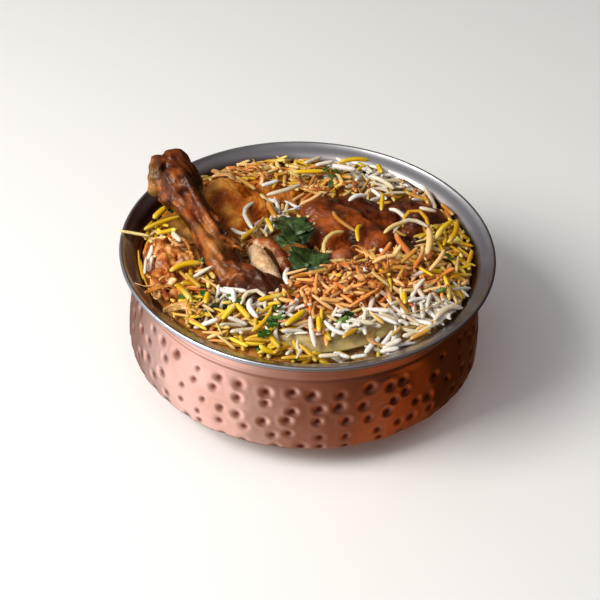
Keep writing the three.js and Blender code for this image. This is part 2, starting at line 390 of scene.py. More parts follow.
copper = {"rows": (47.5, 39.5, 31, 22.8, 15.5), "columns": 46, "rowTurn": 0.12, "aside": 0.55,
          "missing": 0.05, "dimple": 3.5 * mm, "depth": 1.0 * mm, "lowRow": 25, "lowDepth": 0.6, "lip": 0.10,
          "sizes": (0.82, 1.15), "depths": (0.6, 1.15), "jitter": 1.7 * mm, "groove": 0.55 * mm,
          "grooveWidth": 0.55 * mm, "wave": 0.5 * mm, "waveSize": 13 * mm, "seed": 11,
          "plainBand": 2 * mm, "bandFade": 3 * mm, "underside": 7 * mm, "undersideFade": 9 * mm,
          "least": 0.12, "outerHeights": (0, 4 * mm, 16 * mm, 60 * mm),
          "outerRadii": (46 * mm, 66 * mm, 90.6 * mm, 86 * mm)}
# the copper's paint is patina with painted shade, darkening the dimple centres and the groove
copperFinish = {"name": "hammeredCopper", "rough": 0.25, "mottle": (45, 5),
                "tones": ((0.3, srgb(214, 140, 112)), (0.7, srgb(234, 164, 138))),
                "paint": "tarnishAndShade", "cover": ((0.1, grey(1.0)), (0.9, srgb(142, 94, 82))),
                "brush": (60, 3, (1, 1, 28)), "shine": (0.17, 0.32), "bump": (0.10, 0.0006)}


def makeCopper():
    outside = outsideLine(26, 48, 12)
    grooved = [math.exp(-((z - handi["grooveHeight"]) / copper["grooveWidth"]) ** 2) for r, z in outside]
    outside = [(r - copper["groove"] * share, z) for (r, z), share in zip(outside, grooved)]
    inside = movedIn(outsideLine(6, 4, 4), handi["copperWall"])
    piece = spun("handiCopper", outside + inside[::-1], handi["spinSteps"])
    coords = vectorsOf(piece.data)
    radius = np.hypot(coords[:, 0], coords[:, 1])
    angle = np.arctan2(coords[:, 1], coords[:, 0])
    # only the outer face moves, not the plain band at the neck, and hardly the underside
    outer = radius > np.interp(coords[:, 2], copper["outerHeights"], copper["outerRadii"])
    below = np.clip((handi["grooveHeight"] - copper["plainBand"] - coords[:, 2]) / copper["bandFade"], 0, 1)
    below *= np.clip((coords[:, 2] - copper["underside"]) / copper["undersideFade"], copper["least"], 1)
    push = np.zeros(len(coords))
    dark = np.zeros(len(coords))
    wave = noiseAt(coords[outer] * (1, 1, 0.45), copper["waveSize"], copper["seed"])
    push[outer] -= copper["wave"] * wave * below[outer]
    rng = random.Random(copper["seed"])
    for row, height in enumerate(copper["rows"]):
        for column in range(copper["columns"]):
            aside = copper["rowTurn"] * row + rng.uniform(-0.5, 0.5) * copper["aside"]
            centreAngle = (column + aside) / copper["columns"] * 2 * math.pi
            z = height * mm + rng.gauss(0, 0.6) * copper["jitter"]
            size = copper["dimple"] * rng.uniform(*copper["sizes"])
            depth = copper["depth"] * rng.uniform(*copper["depths"])
            depth *= 1 if height > copper["lowRow"] else copper["lowDepth"]
            if rng.random() < copper["missing"]:
                continue
            around = (angle - centreAngle + math.pi) % (2 * math.pi) - math.pi
            away = np.hypot(around * handi["neckRadius"], (coords[:, 2] - z) * 1.05)
            near = outer & (away < 2.0 * size)
            share = away[near] / size
            bowl = np.where(share < 1, (1 - share ** 2) ** 2, 0)
            lip = copper["lip"] * np.exp(-((share - 1.2) / 0.28) ** 2)
            push[near] -= depth * (bowl - lip) * below[near]
            # each dimple's centre is darkened: patina and painted shade
            dark[near] = np.maximum(dark[near], np.clip(1.25 - share * 1.7, 0, 1) * below[near])
    coords[:, 0] += push * np.cos(angle)
    coords[:, 1] += push * np.sin(angle)
    setCoords(piece.data, coords)
    # a dark line along the groove: patina and painted shade
    dark = np.maximum(dark, np.exp(-((coords[:, 2] - handi["grooveHeight"]) / (0.5 * mm)) ** 2) * outer)
    paint(piece.data, "tarnishAndShade", dark)
    return piece


def metalLook(plan):
    # a mottled tone, darker where its paint lies, and brushed around the axis
    made = material(plan["name"], Metallic=1.0, Roughness=plan["rough"], Anisotropic=0.4)
    tone = rampNode(made, noiseNode(made, *plan["mottle"]), "Fac", *plan["tones"])
    cover = addNode(made, "ShaderNodeAttribute", attribute_name=plan["paint"])
    multiplied(made, tone, rampNode(made, cover, "Fac", *plan["cover"]))
    brush = noiseNode(made, *plan["brush"])
    shine = addNode(made, "ShaderNodeMapRange", To_Min=plan["shine"][0], To_Max=plan["shine"][1])
    link(made, brush, "Fac", shine, "Value")
    link(made, shine, "Result", shaderOf(made), "Roughness")
    bumpNode(made, brush, *plan["bump"])
    return made


copperLook = metalLook(copperFinish)
around = addNode(copperLook, "ShaderNodeTangent", direction_type="RADIAL", axis="Z")
link(copperLook, around, "Tangent", shaderOf(copperLook), "Tangent")


# steel liner with its sloped brim and rolled bead, and a darker band on the wall above the food: an oil film
# with painted shade, rising further on the shaded left

steel = {"oilTop": 65.5 * mm, "oilAndShadeLeft": 4.0 * mm, "oilAndShadeRight": 1.5 * mm, "oilFade": 3.5 * mm,
         "oilWave": 0.8 * mm, "oilWaveSize": 14 * mm, "beadSteps": 24, "beadFrom": -125, "beadTurn": 270}
steelFinish = {"name": "satinSteel", "rough": 0.3, "mottle": (30, 4),
               "tones": ((0.35, srgb(176, 172, 174)), (0.7, srgb(194, 191, 193))),
               "paint": "oil", "cover": ((0.0, grey(1.0)), (0.9, srgb(140, 96, 60))),
               "brush": (90, 2, (1, 1, 20)), "shine": (0.24, 0.36), "bump": (0.05, 0.0004)}
linerInside = movedIn(outsideLine(10, 10, 16), handi["copperWall"] + handi["gap"] + handi["steelWall"])


def makeSteel():
    outside = movedIn(outsideLine(10, 8, 10), handi["copperWall"] + handi["gap"])
    bead = []
    for i in range(steel["beadSteps"] + 1):
        angle = math.radians(steel["beadFrom"] + steel["beadTurn"] * i / steel["beadSteps"])
        bead.append((rimRadius + handi["beadRadius"] * (math.cos(angle) - 1),
                     rimHeight + handi["beadRadius"] * (math.sin(angle) - 1)))
    piece = spun("handiSteel", outside + bead + linerInside[::-1], handi["linerSteps"])
    coords = vectorsOf(piece.data)
    radius = np.hypot(coords[:, 0], coords[:, 1])
    inner = np.interp(coords[:, 2], [z for r, z in linerInside[2:]], [r for r, z in linerInside[2:]])
    facing = np.abs(radius - inner) < 0.2 * mm
    side = coords[:, 0] / np.maximum(radius, 1 * mm)
    # the band rises further on the left wall, which faces away from the light: painted shade
    oilAndShadeRise = steel["oilAndShadeLeft"] * np.clip(-side, 0, 1) + steel["oilAndShadeRight"] * np.clip(side, 0, 1)
    uneven = steel["oilWave"] * noiseAt(coords, steel["oilWaveSize"], 8)
    # oil film and painted shade, darkest just above the food
    oily = np.clip((steel["oilTop"] + oilAndShadeRise + uneven - coords[:, 2]) / steel["oilFade"], 0, 1) * facing
    paint(piece.data, "oil", oily)
    return piece


settle(makeCopper(), copperLook, "hammered_copper", "copper_shell")
settle(makeSteel(), metalLook(steelFinish), "satin_steel", "steel_liner")


# where each kind of rice lies on the heap: middle, half width and half depth in mm, turn in degrees

flavours = {
    "masala": [(26, -32, 40, 15, -4, 4.5), (2, -42, 16, 8, 15, 1.8), (58, -18, 15, 12, 0, 2.0),
               (-68, -20, 12, 22, 10, 1.6), (-30, 56, 22, 12, 0, 1.4), (-5, 44, 18, 10, 0, 2.0),
               (62, 55, 12, 9, -40, 1.2), (-45, -50, 12, 8, 0, 1.5), (-5, -66, 26, 8, 0, 1.2)],
    "white": [(57, -53, 20, 12, 35, 6.0), (22, -63, 22, 8, 10, 2.8), (-44, -43, 14, 8, -20, 2.8),
              (-22, -60, 18, 10, -15, 1.8), (38, 68, 26, 12, -20, 3.4), (-66, -12, 10, 12, 0, 1.4),
              (-20, 24, 12, 16, 0, 2.4), (-66, 8, 8, 8, 0, 1.4), (78, -30, 8, 16, 0, 1.4),
              (-12, -42, 12, 8, 0, 1.6), (35, -77, 22, 8, 0, 3.0), (5, 70, 12, 8, 0, 1.6)],
    "yellow": [(-70, 22, 14, 14, 0, 3.2), (74, 18, 10, 18, 0, 4.0), (76, -16, 9, 22, 0, 3.0),
               (-32, -57, 22, 10, -20, 2.4), (-20, -38, 16, 8, -10, 1.4), (0, -74, 30, 8, 0, 1.6),
               (8, 80, 26, 8, 0, 1.8), (-8, 60, 20, 8, 0, 1.2), (-58, -45, 10, 14, 0, 1.8),
               (30, 78, 24, 8, 0, 1.2)],
    "golden": [(0, 0, 95, 95, 0, 0.6), (-5, 66, 50, 14, 0, 1.0), (72, 0, 14, 40, 0, 0.9)],
}


def flavourAt(x, y):
    # share of each kind of rice at a place, x and y in mm
    shares = {}
    for kind, patches in flavours.items():
        total = 0.03
        for px, py, wide, deep, turned, strength in patches:
            turned = math.radians(turned)
            along = (x - px) * math.cos(turned) + (y - py) * math.sin(turned)
            across = (y - py) * math.cos(turned) - (x - px) * math.sin(turned)
            total += strength * math.exp(-((along / wide) ** 2 + (across / deep) ** 2) * 1.2)
        shares[kind] = total
    return shares


def sauceShare(x, y):
    shares = flavourAt(x / mm, y / mm)
    return shares["masala"] / sum(shares.values())


# places without loose grains, in mm: middle and half widths; the first two show oily sauce
bare = [(53, 12, 7.5, 8.5), (38, -80, 24, 5), (-34, 16, 8, 14), (-40, 30, 12, 16), (-30, 46, 9, 6)]


def isBare(x, y, patches=bare, most=1.0):
    return any(((x / mm - px) / wide) ** 2 + ((y / mm - py) / deep) ** 2 < most
               for px, py, wide, deep in patches)


# core under the grains: the CAD heap, sunk a little and lumpy

core = {"voxel": 1.4 * mm, "passes": 4, "sink": 2.8 * mm, "saucy": 1.3 * mm, "lump": 1.1 * mm,
        "lumpSize": 4.5 * mm, "topFrom": 50 * mm, "inset": 0.6 * mm, "side": srgb(120, 80, 40),
        "oily": srgb(92, 58, 20), "oilyReach": 1.6,
        "colors": {"masala": srgb(204, 100, 32), "white": srgb(190, 150, 92), "yellow": srgb(184, 120, 24),
                   "golden": srgb(180, 108, 30)}}


def coreColor(x, y, z):
    if z < core["topFrom"]:
        return core["side"]
    if isBare(x, y, bare[:2], core["oilyReach"]):
        return core["oily"]
    shares = flavourAt(x / mm, y / mm)
    total = sum(shares.values())
    return sum(np.array(core["colors"][kind]) * share / total for kind, share in shares.items())


def makeCore():
    piece = nodeCopy("riceCore", "rice_heap", core["voxel"], core["passes"])
    coords = vectorsOf(piece.data)
    top = coords[:, 2] > core["topFrom"]
    lumps = noiseAt(coords[top], core["lumpSize"], 3)
    saucy = np.array([sauceShare(x, y) for x, y in coords[top, :2]])
    coords[top, 2] += core["lump"] * lumps - core["sink"] + core["saucy"] * saucy
    radius = np.hypot(coords[:, 0], coords[:, 1])
    inner = 1 - core["inset"] / np.maximum(radius, 1 * mm)
    coords[:, 0] *= inner
    coords[:, 1] *= inner
    setCoords(piece.data, coords)
    colors = np.array([coreColor(*point) for point in coords])
    colors[:, 3] = 1
    paint(piece.data, "tint", colors)
    return piece


def tintedLook(name, roughness, glow, coat, bumpSize, bumpStrength, spread):
    # colour from the piece's own tint, with a little noise over it
    made = material(name, Roughness=roughness, Coat_Weight=coat, Coat_Roughness=0.25, Subsurface_Weight=glow,
                    Subsurface_Radius=(1.0, 0.85, 0.6), Subsurface_Scale=0.001, Specular_IOR_Level=0.32)
    texture = noiseNode(made, bumpSize, 3)
    shade = rampNode(made, texture, "Fac", (0.25, grey(1 - spread)), (0.75, grey(1.0)))
    multiplied(made, addNode(made, "ShaderNodeAttribute", attribute_name="tint"), shade)
    bumpNode(made, texture, bumpStrength, 0.0004)
    return made


riceCore = makeCore()
settle(riceCore, tintedLook("saucyCore", 0.45, 0.1, 0.15, 700, 0.5, 0.45), "rice", "rice_heap")


# chicken: balls and limbs pressed together like clay, then given their surface

def limbMesh(stations):
    # a tapering limb through the stations, each x, y, z and radius in mm
    curve = bpy.data.curves.new("limb", "CURVE")
    curve.dimensions = "3D"
    curve.bevel_depth = 1 * mm
    curve.bevel_resolution = 5
    curve.use_fill_caps = True
    spline = curve.splines.new("NURBS")
    spline.points.add(len(stations) - 1)
    spline.order_u = 3
    spline.use_endpoint_u = True
    spline.resolution_u = 8
    for point, (x, y, z, size) in zip(spline.points, stations):
        point.co = (x * mm, y * mm, z * mm, 1)
        point.radius = size
    limb = bpy.data.objects.new("limb", curve)
    bpy.context.scene.collection.objects.link(limb)
    depsgraph = bpy.context.evaluated_depsgraph_get()
    mesh = bpy.data.meshes.new_from_object(limb.evaluated_get(depsgraph))
    bpy.data.objects.remove(limb)
    bpy.data.curves.remove(curve)
    return mesh


def clay(name, plan, voxel, passes):
    bm = bmesh.new()
    addBalls(bm, plan["balls"])
    for stations in plan["limbs"]:
        mesh = limbMesh(stations)
        bm.from_mesh(mesh)
        bpy.data.meshes.remove(mesh)
    return remeshed(pieceFromBmesh(name, bm), voxel, passes)


def roughen(piece, layers, seed):
    # layers are (lump size, height) in mm, pushed along the normals
    for i, (size, height) in enumerate(layers):
        coords = vectorsOf(piece.data)
        normals = vectorsOf(piece.data, "normal")
        push = noiseAt(coords, size * mm, seed + i)
        setCoords(piece.data, coords + normals * (push * height * mm)[:, None])


def dent(piece, place, reach, depth):
    coords = vectorsOf(piece.data)
    normals = vectorsOf(piece.data, "normal")
    away = np.linalg.norm(coords - np.array(place) * mm, axis=1) / (reach * mm)
    push = np.where(away < 1, (1 - np.minimum(away, 1) ** 2) ** 2, 0) * depth * mm
    setCoords(piece.data, coords - normals * push[:, None])


drumstickShape = {
    "balls": [((-68, 29.5, 85), 10.6), ((-70.5, 38, 88.5), 8.0), ((-76.5, 34, 88), 6.6), ((-77, 30, 89), 5.0),
              ((-76, 24.5, 83.5), 6.4), ((-70.5, 20.5, 80.5), 6.8), ((-63, 26, 84), 7.8),
              ((-80, 36.5, 89), 4.8), ((-79, 30, 86.5), 6.2), ((-79, 23.5, 83.5), 5.2),
              ((-21, -34, 58), 14.8), ((-29, -30, 60.5), 12.8), ((-13, -38, 56), 11.8), ((-39, -26, 63), 9)],
    "limbs": [
        [(-72, 31, 87, 9), (-69, 26, 85, 11.5), (-64, 19, 82, 9.8), (-58, 10.5, 78.5, 7.4),
         (-51, 0, 74.5, 8.2), (-44.5, -12, 70.5, 9.0), (-40, -21, 67.5, 9.6), (-36, -29, 64, 8)],
        [(-64, 20, 92, 3.0), (-57, 9, 87.5, 2.4), (-52, 0, 84, 2.2), (-46, -9, 80.5, 3.0),
         (-42, -16, 77.5, 1.8)],
        [(-72, 16, 83, 2.5), (-62, 6, 82, 2.6), (-57, -4, 80, 2.6), (-49, -14, 78, 3.6), (-43, -22, 77, 3.2),
         (-38, -29, 72, 2)],
        [(-42, -25, 74.5, 2), (-36, -27.5, 73.5, 3), (-29, -28.5, 73, 3.4), (-21, -32, 71, 3.4),
         (-13, -38, 67, 3)],
        [(-53, 3, 84, 1.8), (-47.5, 2, 83.5, 1.5), (-44.5, -2, 82, 0.9)],
        [(-50, -4, 82, 1.8), (-43.5, -4.5, 81.5, 1.5), (-40, -8.5, 79.5, 0.9)],
        [(-45, -11, 79.5, 1.7), (-39, -11, 80, 1.4), (-35.5, -15, 78.5, 0.8)],
        [(-42, -16, 78, 1.7), (-36, -15.5, 78.5, 1.4), (-32, -19, 78.5, 0.8)],
        [(-77, 17, 81, 1.8), (-69, 14.5, 80.5, 1.9), (-64, 8, 79, 1.4)],
    ],
    "voxel": 0.7 * mm,
    "endFace": ((-83, 29, 87), (-0.95, -0.15, 0.28), 0.25),
    "dents": [((-74, 27.5, 91.5), 4.6, 3.6), ((-84, 31, 88), 4, 0.9), ((-70, 30, 96), 5, 1.6),
              ((-64, 12, 88), 5, 1.5)],
    "shaftWay": (0.55, -0.75, -0.36),
    "tint": ((44, 15, 3), (96, 39, 8), (160, 84, 27)),
    # the first two patches are painted light on the knuckle's lit left end
    "patches": [(-84, 28, 88, 6, (176, 126, 62), 0.75), (-82, 38, 90, 5, (170, 108, 48), 0.6),
                # painted shade in and below the pit of the knuckle
                (-74, 27.5, 89.5, 4, (40, 15, 4), 2), (-72, 22, 88, 3, (52, 20, 5), 0.8),
                # a painted highlight on the knuckle's left
                (-81, 21, 84, 5, (196, 142, 70), 0.7),
                # the second patch here is painted shade on the knuckle's right side, where it meets the shaft
                (-66, 34, 95, 9, (84, 34, 8), 1.2), (-60, 22, 88, 8, (54, 21, 5), 1.5),
                # the second patch here is a painted highlight on the shaft
                (-58, 2, 84, 5, (128, 50, 16), 0.6), (-51, -8, 82, 6, (196, 122, 54), 0.7),
                # the first patch here is a painted highlight on the shaft
                (-47, -19, 79, 6, (206, 138, 68), 0.75), (-20, -41, 68, 14, (66, 25, 7), 2.4),
                # painted light on the lit top edge of the thigh, and a painted highlight low on the shaft
                (-28, -25, 76, 5, (164, 80, 28), 0.6), (-45, -29, 72, 6, (180, 110, 48), 0.7)],
    # painted shade on the side that faces away from the key light
    "shadedSide": ((0.85, 0.35, 0.1), (56, 22, 5), 0.85),
}


def flatten(piece, place, facing, keep):
    # presses what stands past a plane back towards it
    coords = vectorsOf(piece.data)
    facing = np.array(Vector(facing).normalized())
    past = np.maximum((coords - np.array(place) * mm) @ facing, 0)
    setCoords(piece.data, coords - facing * (past * (1 - keep))[:, None])


def streak(piece, way, size, height, seed):
    # ridges that run along one way, like muscle
    coords = vectorsOf(piece.data)
    way = np.array(Vector(way).normalized())
    along = coords - 0.82 * (coords @ way)[:, None] * way
    push = noiseAt(along, size * mm, seed) * height * mm
    setCoords(piece.data, coords + vectorsOf(piece.data, "normal") * push[:, None])


def washed(colors, color, cover):
    # lays one colour over the others, by its cover at each vertex
    cover = cover[:, None]
    return colors * (1 - cover) + np.array(srgb(*color)) * cover


def meatTint(piece, dark, mid, light, size, seed, patches=(), shadedSide=None):
    # broad mottling from dark to light, then patches (x, y, z, reach, colour, strength) over it,
    # some of them painted highlights and painted shade, and a painted shade on the side turned from the
    # light: the way it faces, its colour and its strength
    coords = vectorsOf(piece.data)
    share = np.clip(noiseAt(coords, size * mm, seed) * 0.9 + 0.5
                    + noiseAt(coords, size * 0.3 * mm, seed + 1) * 0.35, 0, 1)
    colors = washed(np.array([srgb(*dark)]), mid, np.clip(share * 2, 0, 1))
    colors = washed(colors, light, np.clip(share * 2 - 1, 0, 1))
    # darkens what faces the given way, away from the light: painted shade
    if shadedSide:
        way, color, strength = shadedSide
        facing = vectorsOf(piece.data, "normal") @ np.array(Vector(way).normalized())
        colors = washed(colors, color, strength * np.clip(facing * 1.5 - 0.1, 0, 1))
    for x, y, z, reach, color, strength in patches:
        away = np.linalg.norm(coords - np.array((x, y, z)) * mm, axis=1) / (reach * mm)
        colors = washed(colors, color, np.clip(strength * np.exp(-away ** 2 * 1.5), 0, 1))
    paint(piece.data, "tint", colors)


def chickenLook(name, roughness, coat, bump):
    made = tintedLook(name, roughness, 0.06, coat, 260, 0, 0.35)
    setInputs(made, Coat_Roughness=0.16, Specular_IOR_Level=0.24, Coat_Tint=(1.0, 0.86, 0.68, 1.0),
              Specular_Tint=(1.0, 0.74, 0.5, 1.0), Subsurface_Radius=(1.0, 0.55, 0.3))
    bumpNode(made, noiseNode(made, 620, 5), bump, 0.0009)
    return made


glazed = chickenLook("glazedChicken", 0.4, 0.2, 0.25)
masalaChicken = chickenLook("masalaChicken", 0.44, 0.18, 0.45)
goldenChicken = chickenLook("goldenChicken", 0.55, 0.08, 0.8)
paleFlesh = chickenLook("paleFlesh", 0.42, 0.3, 0.5)

drumstick = clay("chickenDrumstick", drumstickShape, drumstickShape["voxel"], 4)
flatten(drumstick, *drumstickShape["endFace"])
for hollow in drumstickShape["dents"]:
    dent(drumstick, *hollow)
roughen(drumstick, [(8, 0.55), (3.4, 0.25)], 21)
streak(drumstick, drumstickShape["shaftWay"], 2.6, 0.65, 25)
roughen(drumstick, [(1.4, 0.12)], 27)
meatTint(drumstick, *drumstickShape["tint"], 6, 3, drumstickShape["patches"], drumstickShape["shadedSide"])
settle(drumstick, glazed, "masala_chicken", "drumstick")


piecePlan = [
    {"name": "chickenCentre", "node": "chicken_centre", "look": masalaChicken, "slot": "masala_chicken",
     "balls": [((18.5, -11.5, 66.5), 8.2), ((25, 13, 65.5), 9.6), ((36.5, 6, 65.5), 8.4), ((5, 30, 63), 11),
               ((10, 8, 66), 8.5), ((29, 27, 65), 9), ((16, 36, 64), 8)],
     "layers": [(9, 1.1), (3.6, 0.6), (1.5, 0.2)],
     "tint": ((54, 18, 4), (114, 46, 11), (172, 82, 26)),
     "patches": [(30, 36, 72, 16, (72, 26, 8), 0.8), (8, 14, 74, 9, (196, 104, 44), 0.6),
                 (18, -12, 74, 7, (150, 78, 40), 0.6), (14, -14, 73, 3.5, (206, 150, 124), 0.6),
                 (-2, 34, 74, 9, (172, 86, 30), 0.5)]},
    {"name": "chickenRight", "node": "chicken_right", "look": masalaChicken, "slot": "masala_chicken",
     "balls": [((50, 38, 62), 8), ((64, 28, 61), 8)],
     "layers": [(8, 1.2), (3.4, 0.7), (1.5, 0.3)],
     "tint": ((44, 16, 4), (88, 36, 12), (132, 62, 24)), "patches": []},
    {"name": "chickenBackLeft", "node": "chicken_back_left", "look": goldenChicken, "slot": "masala_chicken",
     "balls": [((-38, 13, 60), 11.5), ((-30, 30, 61), 12.5), ((-44, 41, 61.5), 14), ((-27, 50, 60), 11),
               ((-14, 44, 60), 10)],
     "layers": [(9, 1.5), (4, 0.9), (1.7, 0.4)],
     "tint": ((150, 68, 10), (198, 106, 22), (232, 154, 62)),
     "patches": [(-36, 30, 74, 8, (144, 66, 14), 0.7), (-44, 12, 70, 7, (170, 92, 26), 0.6),
                 (-50, 46, 74, 8, (226, 168, 84), 0.6), (-24, 50, 71, 8, (220, 138, 50), 0.6)]},
    {"name": "chickenTornPiece", "node": "chicken_torn_piece", "look": paleFlesh, "slot": "pale_chicken",
     "balls": [((-22, -16, 62), 8), ((-14, -28, 60), 8), ((-20, -20, 66), 6)],
     "limbs": [[(-27, -7, 69.5, 3.6), (-24, -14, 69.5, 4.8), (-19.5, -23, 68.5, 5.4), (-14, -32, 65, 5)],
               [(-29, -4, 72, 1.7), (-22, -5.5, 74.2, 2.2), (-15.5, -11, 74, 2.6), (-11, -20, 71.8, 2.8),
                (-7, -29, 69, 2.6)],
               [(-12, -13, 72, 2.2), (-6, -16, 72.5, 1.7), (-3, -19, 72, 1.0)],
               [(-9, -21, 71, 2.0), (-4, -23, 71.5, 1.5)]],
     "layers": [(3.6, 0.4), (1.4, 0.25)],
     "tint": ((206, 164, 118), (226, 192, 150), (242, 218, 186)),
     "patches": [(-12, -14, 74.5, 4.5, (116, 50, 17), 4), (-8, -23, 72, 5, (104, 44, 14), 4),
                 (-22, -4.5, 76, 3.6, (164, 84, 34), 4), (-29, -3, 73, 3.5, (140, 72, 28), 3),
                 (-16, -9, 76, 3.6, (140, 66, 24), 4), (-4, -18, 73, 5, (140, 66, 24), 4),
                 (-8, -34, 67, 7, (88, 36, 11), 4)]},
]
chicken = [drumstick]
for order, plan in enumerate(piecePlan):
    if "limbs" in plan:
        piece = clay(plan["name"], plan, 0.6 * mm, 2)
    else:
        piece = nodeCopy(plan["name"], plan["node"], 0.75 * mm, 5, plan["balls"])
    roughen(piece, plan["layers"], 30 + 5 * order)
    meatTint(piece, *plan["tint"], 8, 50 + 3 * order, plan["patches"])
    settle(piece, plan["look"], plan["slot"], plan["node"])
    chicken.append(piece)


# soft orange onion heaped on the left, with a crisp brown edge

softOnion = {"balls": [((-73, -8, 64.5), 5.5), ((-67, -12, 65.5), 5.5), ((-60, -17, 66.5), 4.6),
                       ((-70, -18, 65), 6), ((-64, -24, 65.5), 5.6), ((-72, -27, 63.5), 5.4),
                       ((-67, -33, 64), 5.4), ((-63, -41, 64), 4.6), ((-75, -4, 66), 3.2)],
             "limbs": [[(-76, -31, 67, 1.4), (-72, -38, 68.5, 2.4), (-65, -48, 68, 1.5)],
                       [(-78, -2, 69, 1.2), (-74, -8, 71, 1.8), (-66, -14, 71.5, 1.6), (-60, -16, 71, 1.2)],
                       [(-74, -12, 70.5, 1.3), (-68, -22, 71, 1.7), (-66, -32, 69.5, 1.3)],
                       [(-66, -10, 71, 1.2), (-61, -20, 71.5, 1.6), (-62, -30, 70, 1.2)]],
             "fibre": (0.3, -0.9, 0.0)}
onionHeap = clay("softOnion", softOnion, 0.7 * mm, 3)
roughen(onionHeap, [(6, 0.9), (2.6, 0.6)], 81)
streak(onionHeap, softOnion["fibre"], 1.8, 0.6, 84)
meatTint(onionHeap, (140, 60, 14), (196, 112, 40), (234, 178, 106), 4, 86,
         [(-60, -23, 71, 4, (222, 214, 208), 0.85), (-76, -22, 68, 3.5, (214, 196, 178), 0.7),
          (-71, -38, 70, 5, (150, 66, 18), 0.95), (-66, -46, 69, 5, (134, 56, 14), 0.95),
          (-76, -6, 71, 2.5, (120, 56, 20), 0.8)])
settle(onionHeap, chickenLook("softOnion", 0.34, 0.4, 0.6), "masala_chicken")
chicken.append(onionHeap)


# mint and bay leaves

def leafBlade(name, plan):
    bm = bmesh.new()
    bmesh.ops.create_grid(bm, x_segments=plan["along"], y_segments=plan["across"], size=0.5)
    for vert in bm.verts:
        u = vert.co.x + 0.5
        v = vert.co.y * 2
        shape = math.sin(math.pi * (0.02 + 0.96 * u ** plan["belly"])) ** 0.7
        teeth = 1 + plan["tooth"] * abs(((u * plan["teeth"]) % 1) - 0.5) * 2 * abs(v) ** 2
        half = plan["width"] / 2 * shape * teeth
        # side veins run forwards from the midrib, and the blade puffs up between them
        vein = abs(math.sin(math.pi * (u * plan["teeth"] - abs(v) * 0.9)))
        puff = plan["puff"] * (vein ** 0.6) * (1 - abs(v) ** 3) * shape
        rib = plan["rib"] * math.exp(-(v * 9) ** 2)
        bow = plan["fold"] * abs(v) * half - plan["droop"] * (2 * u - 1) ** 2
        ripple = plan["ripple"] * math.sin(u * 17 + v * 3) * abs(v)
        vert.co = ((u - 0.5) * plan["length"], v * half, bow + puff - rib + ripple)
    bmesh.ops.recalc_face_normals(bm, faces=bm.faces)
    return pieceFromBmesh(name, bm)


def thicken(piece, thickness):
    solid = piece.modifiers.new("solid", "SOLIDIFY")
    solid.thickness = thickness
    solid.offset = 0
    bakeModifiers(piece)


mint = {"along": 56, "across": 30, "belly": 0.8, "tooth": 0.3, "teeth": 5, "puff": 0.5 * mm,
        "rib": 0.4 * mm, "fold": 0.3, "ripple": 0.6 * mm, "thick": 0.35 * mm}
# each blade: middle in mm, turns in degrees, then length, width and droop in mm
mintPlan = [
    ("mintLeafLarge", "mint_leaf_large",
     [((-9, 3.5, 76.6), (8, 4, 120), 27, 17, 2.2), ((-3, 3, 76.4), (-12, 8, 40), 14, 12, 1.2),
      ((-11, -7, 75.4), (10, 6, 212), 13, 11, 1)]),
    ("mintLeafSmall", "mint_leaf_small",
     [((0.5, -19, 74.6), (6, 2, 82), 21, 18, 2.0), ((-3, -22, 74), (0, 8, 215), 10, 9, 1)]),
]


def placeBlade(piece, place, turns):
    turnX, turnY, turnZ = (math.radians(value) for value in turns)
    piece.data.transform(Matrix.Translation(Vector(place) * mm) @ Matrix.Rotation(turnZ, 4, "Z")
                         @ Matrix.Rotation(turnY, 4, "Y") @ Matrix.Rotation(turnX, 4, "X"))


def joined(name, pieces):
    bm = bmesh.new()
    for piece in pieces:
        bm.from_mesh(piece.data)
        old = piece.data
        bpy.data.objects.remove(piece)
        bpy.data.meshes.remove(old)
    return pieceFromBmesh(name, bm)


def leafLook(name, dark, light, roughness):
    made = material(name, Roughness=roughness, Coat_Weight=0.3, Coat_Roughness=0.2, Subsurface_Weight=0.08,
                    Subsurface_Radius=(0.5, 1.0, 0.2), Subsurface_Scale=0.0008)
    ramp = rampNode(made, noiseNode(made, 220, 5), "Fac", (0.35, dark), (0.7, light))
    link(made, ramp, "Color", shaderOf(made), "Base Color")
    bumpNode(made, noiseNode(made, 900, 4), 0.4, 0.0004)
    return made


mintLook = leafLook("mintLeaf", srgb(20, 34, 6), srgb(66, 94, 38), 0.34)
leaves = []
for name, node, blades in mintPlan:
    parts = []
    for place, turns, length, width, droop in blades:
        sizes = {"length": length * mm, "width": width * mm, "droop": droop * mm}
        blade = leafBlade(name + "Blade", {**mint, **sizes})
        roughen(blade, [(4, 0.5), (1.6, 0.25)], 60)
        thicken(blade, mint["thick"])
        placeBlade(blade, place, turns)
        parts.append(blade)
    leaves.append(joined(name, parts))
    settle(leaves[-1], mintLook, "mint", node)

bay = {"along": 70, "across": 12, "belly": 1.0, "tooth": 0, "teeth": 9, "puff": 0.15 * mm, "rib": 0.3 * mm,
       "fold": 0.1, "ripple": 0.4 * mm, "droop": 0, "length": 74 * mm, "width": 10.5 * mm, "thick": 0.4 * mm,
       "angle": -76, "spine": 70 * mm, "height": 65 * mm, "tilt": 0.75, "climb": 0.05}


def makeBay():
    piece = leafBlade("bayLeaf", bay)
    thicken(piece, bay["thick"])
    coords = vectorsOf(piece.data)
    inward = coords[:, 1] * math.cos(bay["tilt"]) - coords[:, 2] * math.sin(bay["tilt"])
    rise = coords[:, 1] * math.sin(bay["tilt"]) + coords[:, 2] * math.cos(bay["tilt"])
    around = math.radians(bay["angle"]) + coords[:, 0] / bay["spine"]
    radius = bay["spine"] - inward
    height = bay["height"] + rise + bay["climb"] * coords[:, 0]
    setCoords(piece.data, np.stack([radius * np.cos(around), radius * np.sin(around), height], 1))
    return piece


leaves.append(makeBay())
settle(leaves[-1], leafLook("bayLeaf", srgb(172, 146, 78), srgb(202, 180, 118), 0.38), "bay", "bay_leaf")


# height map of the food, on which grains are laid one after another

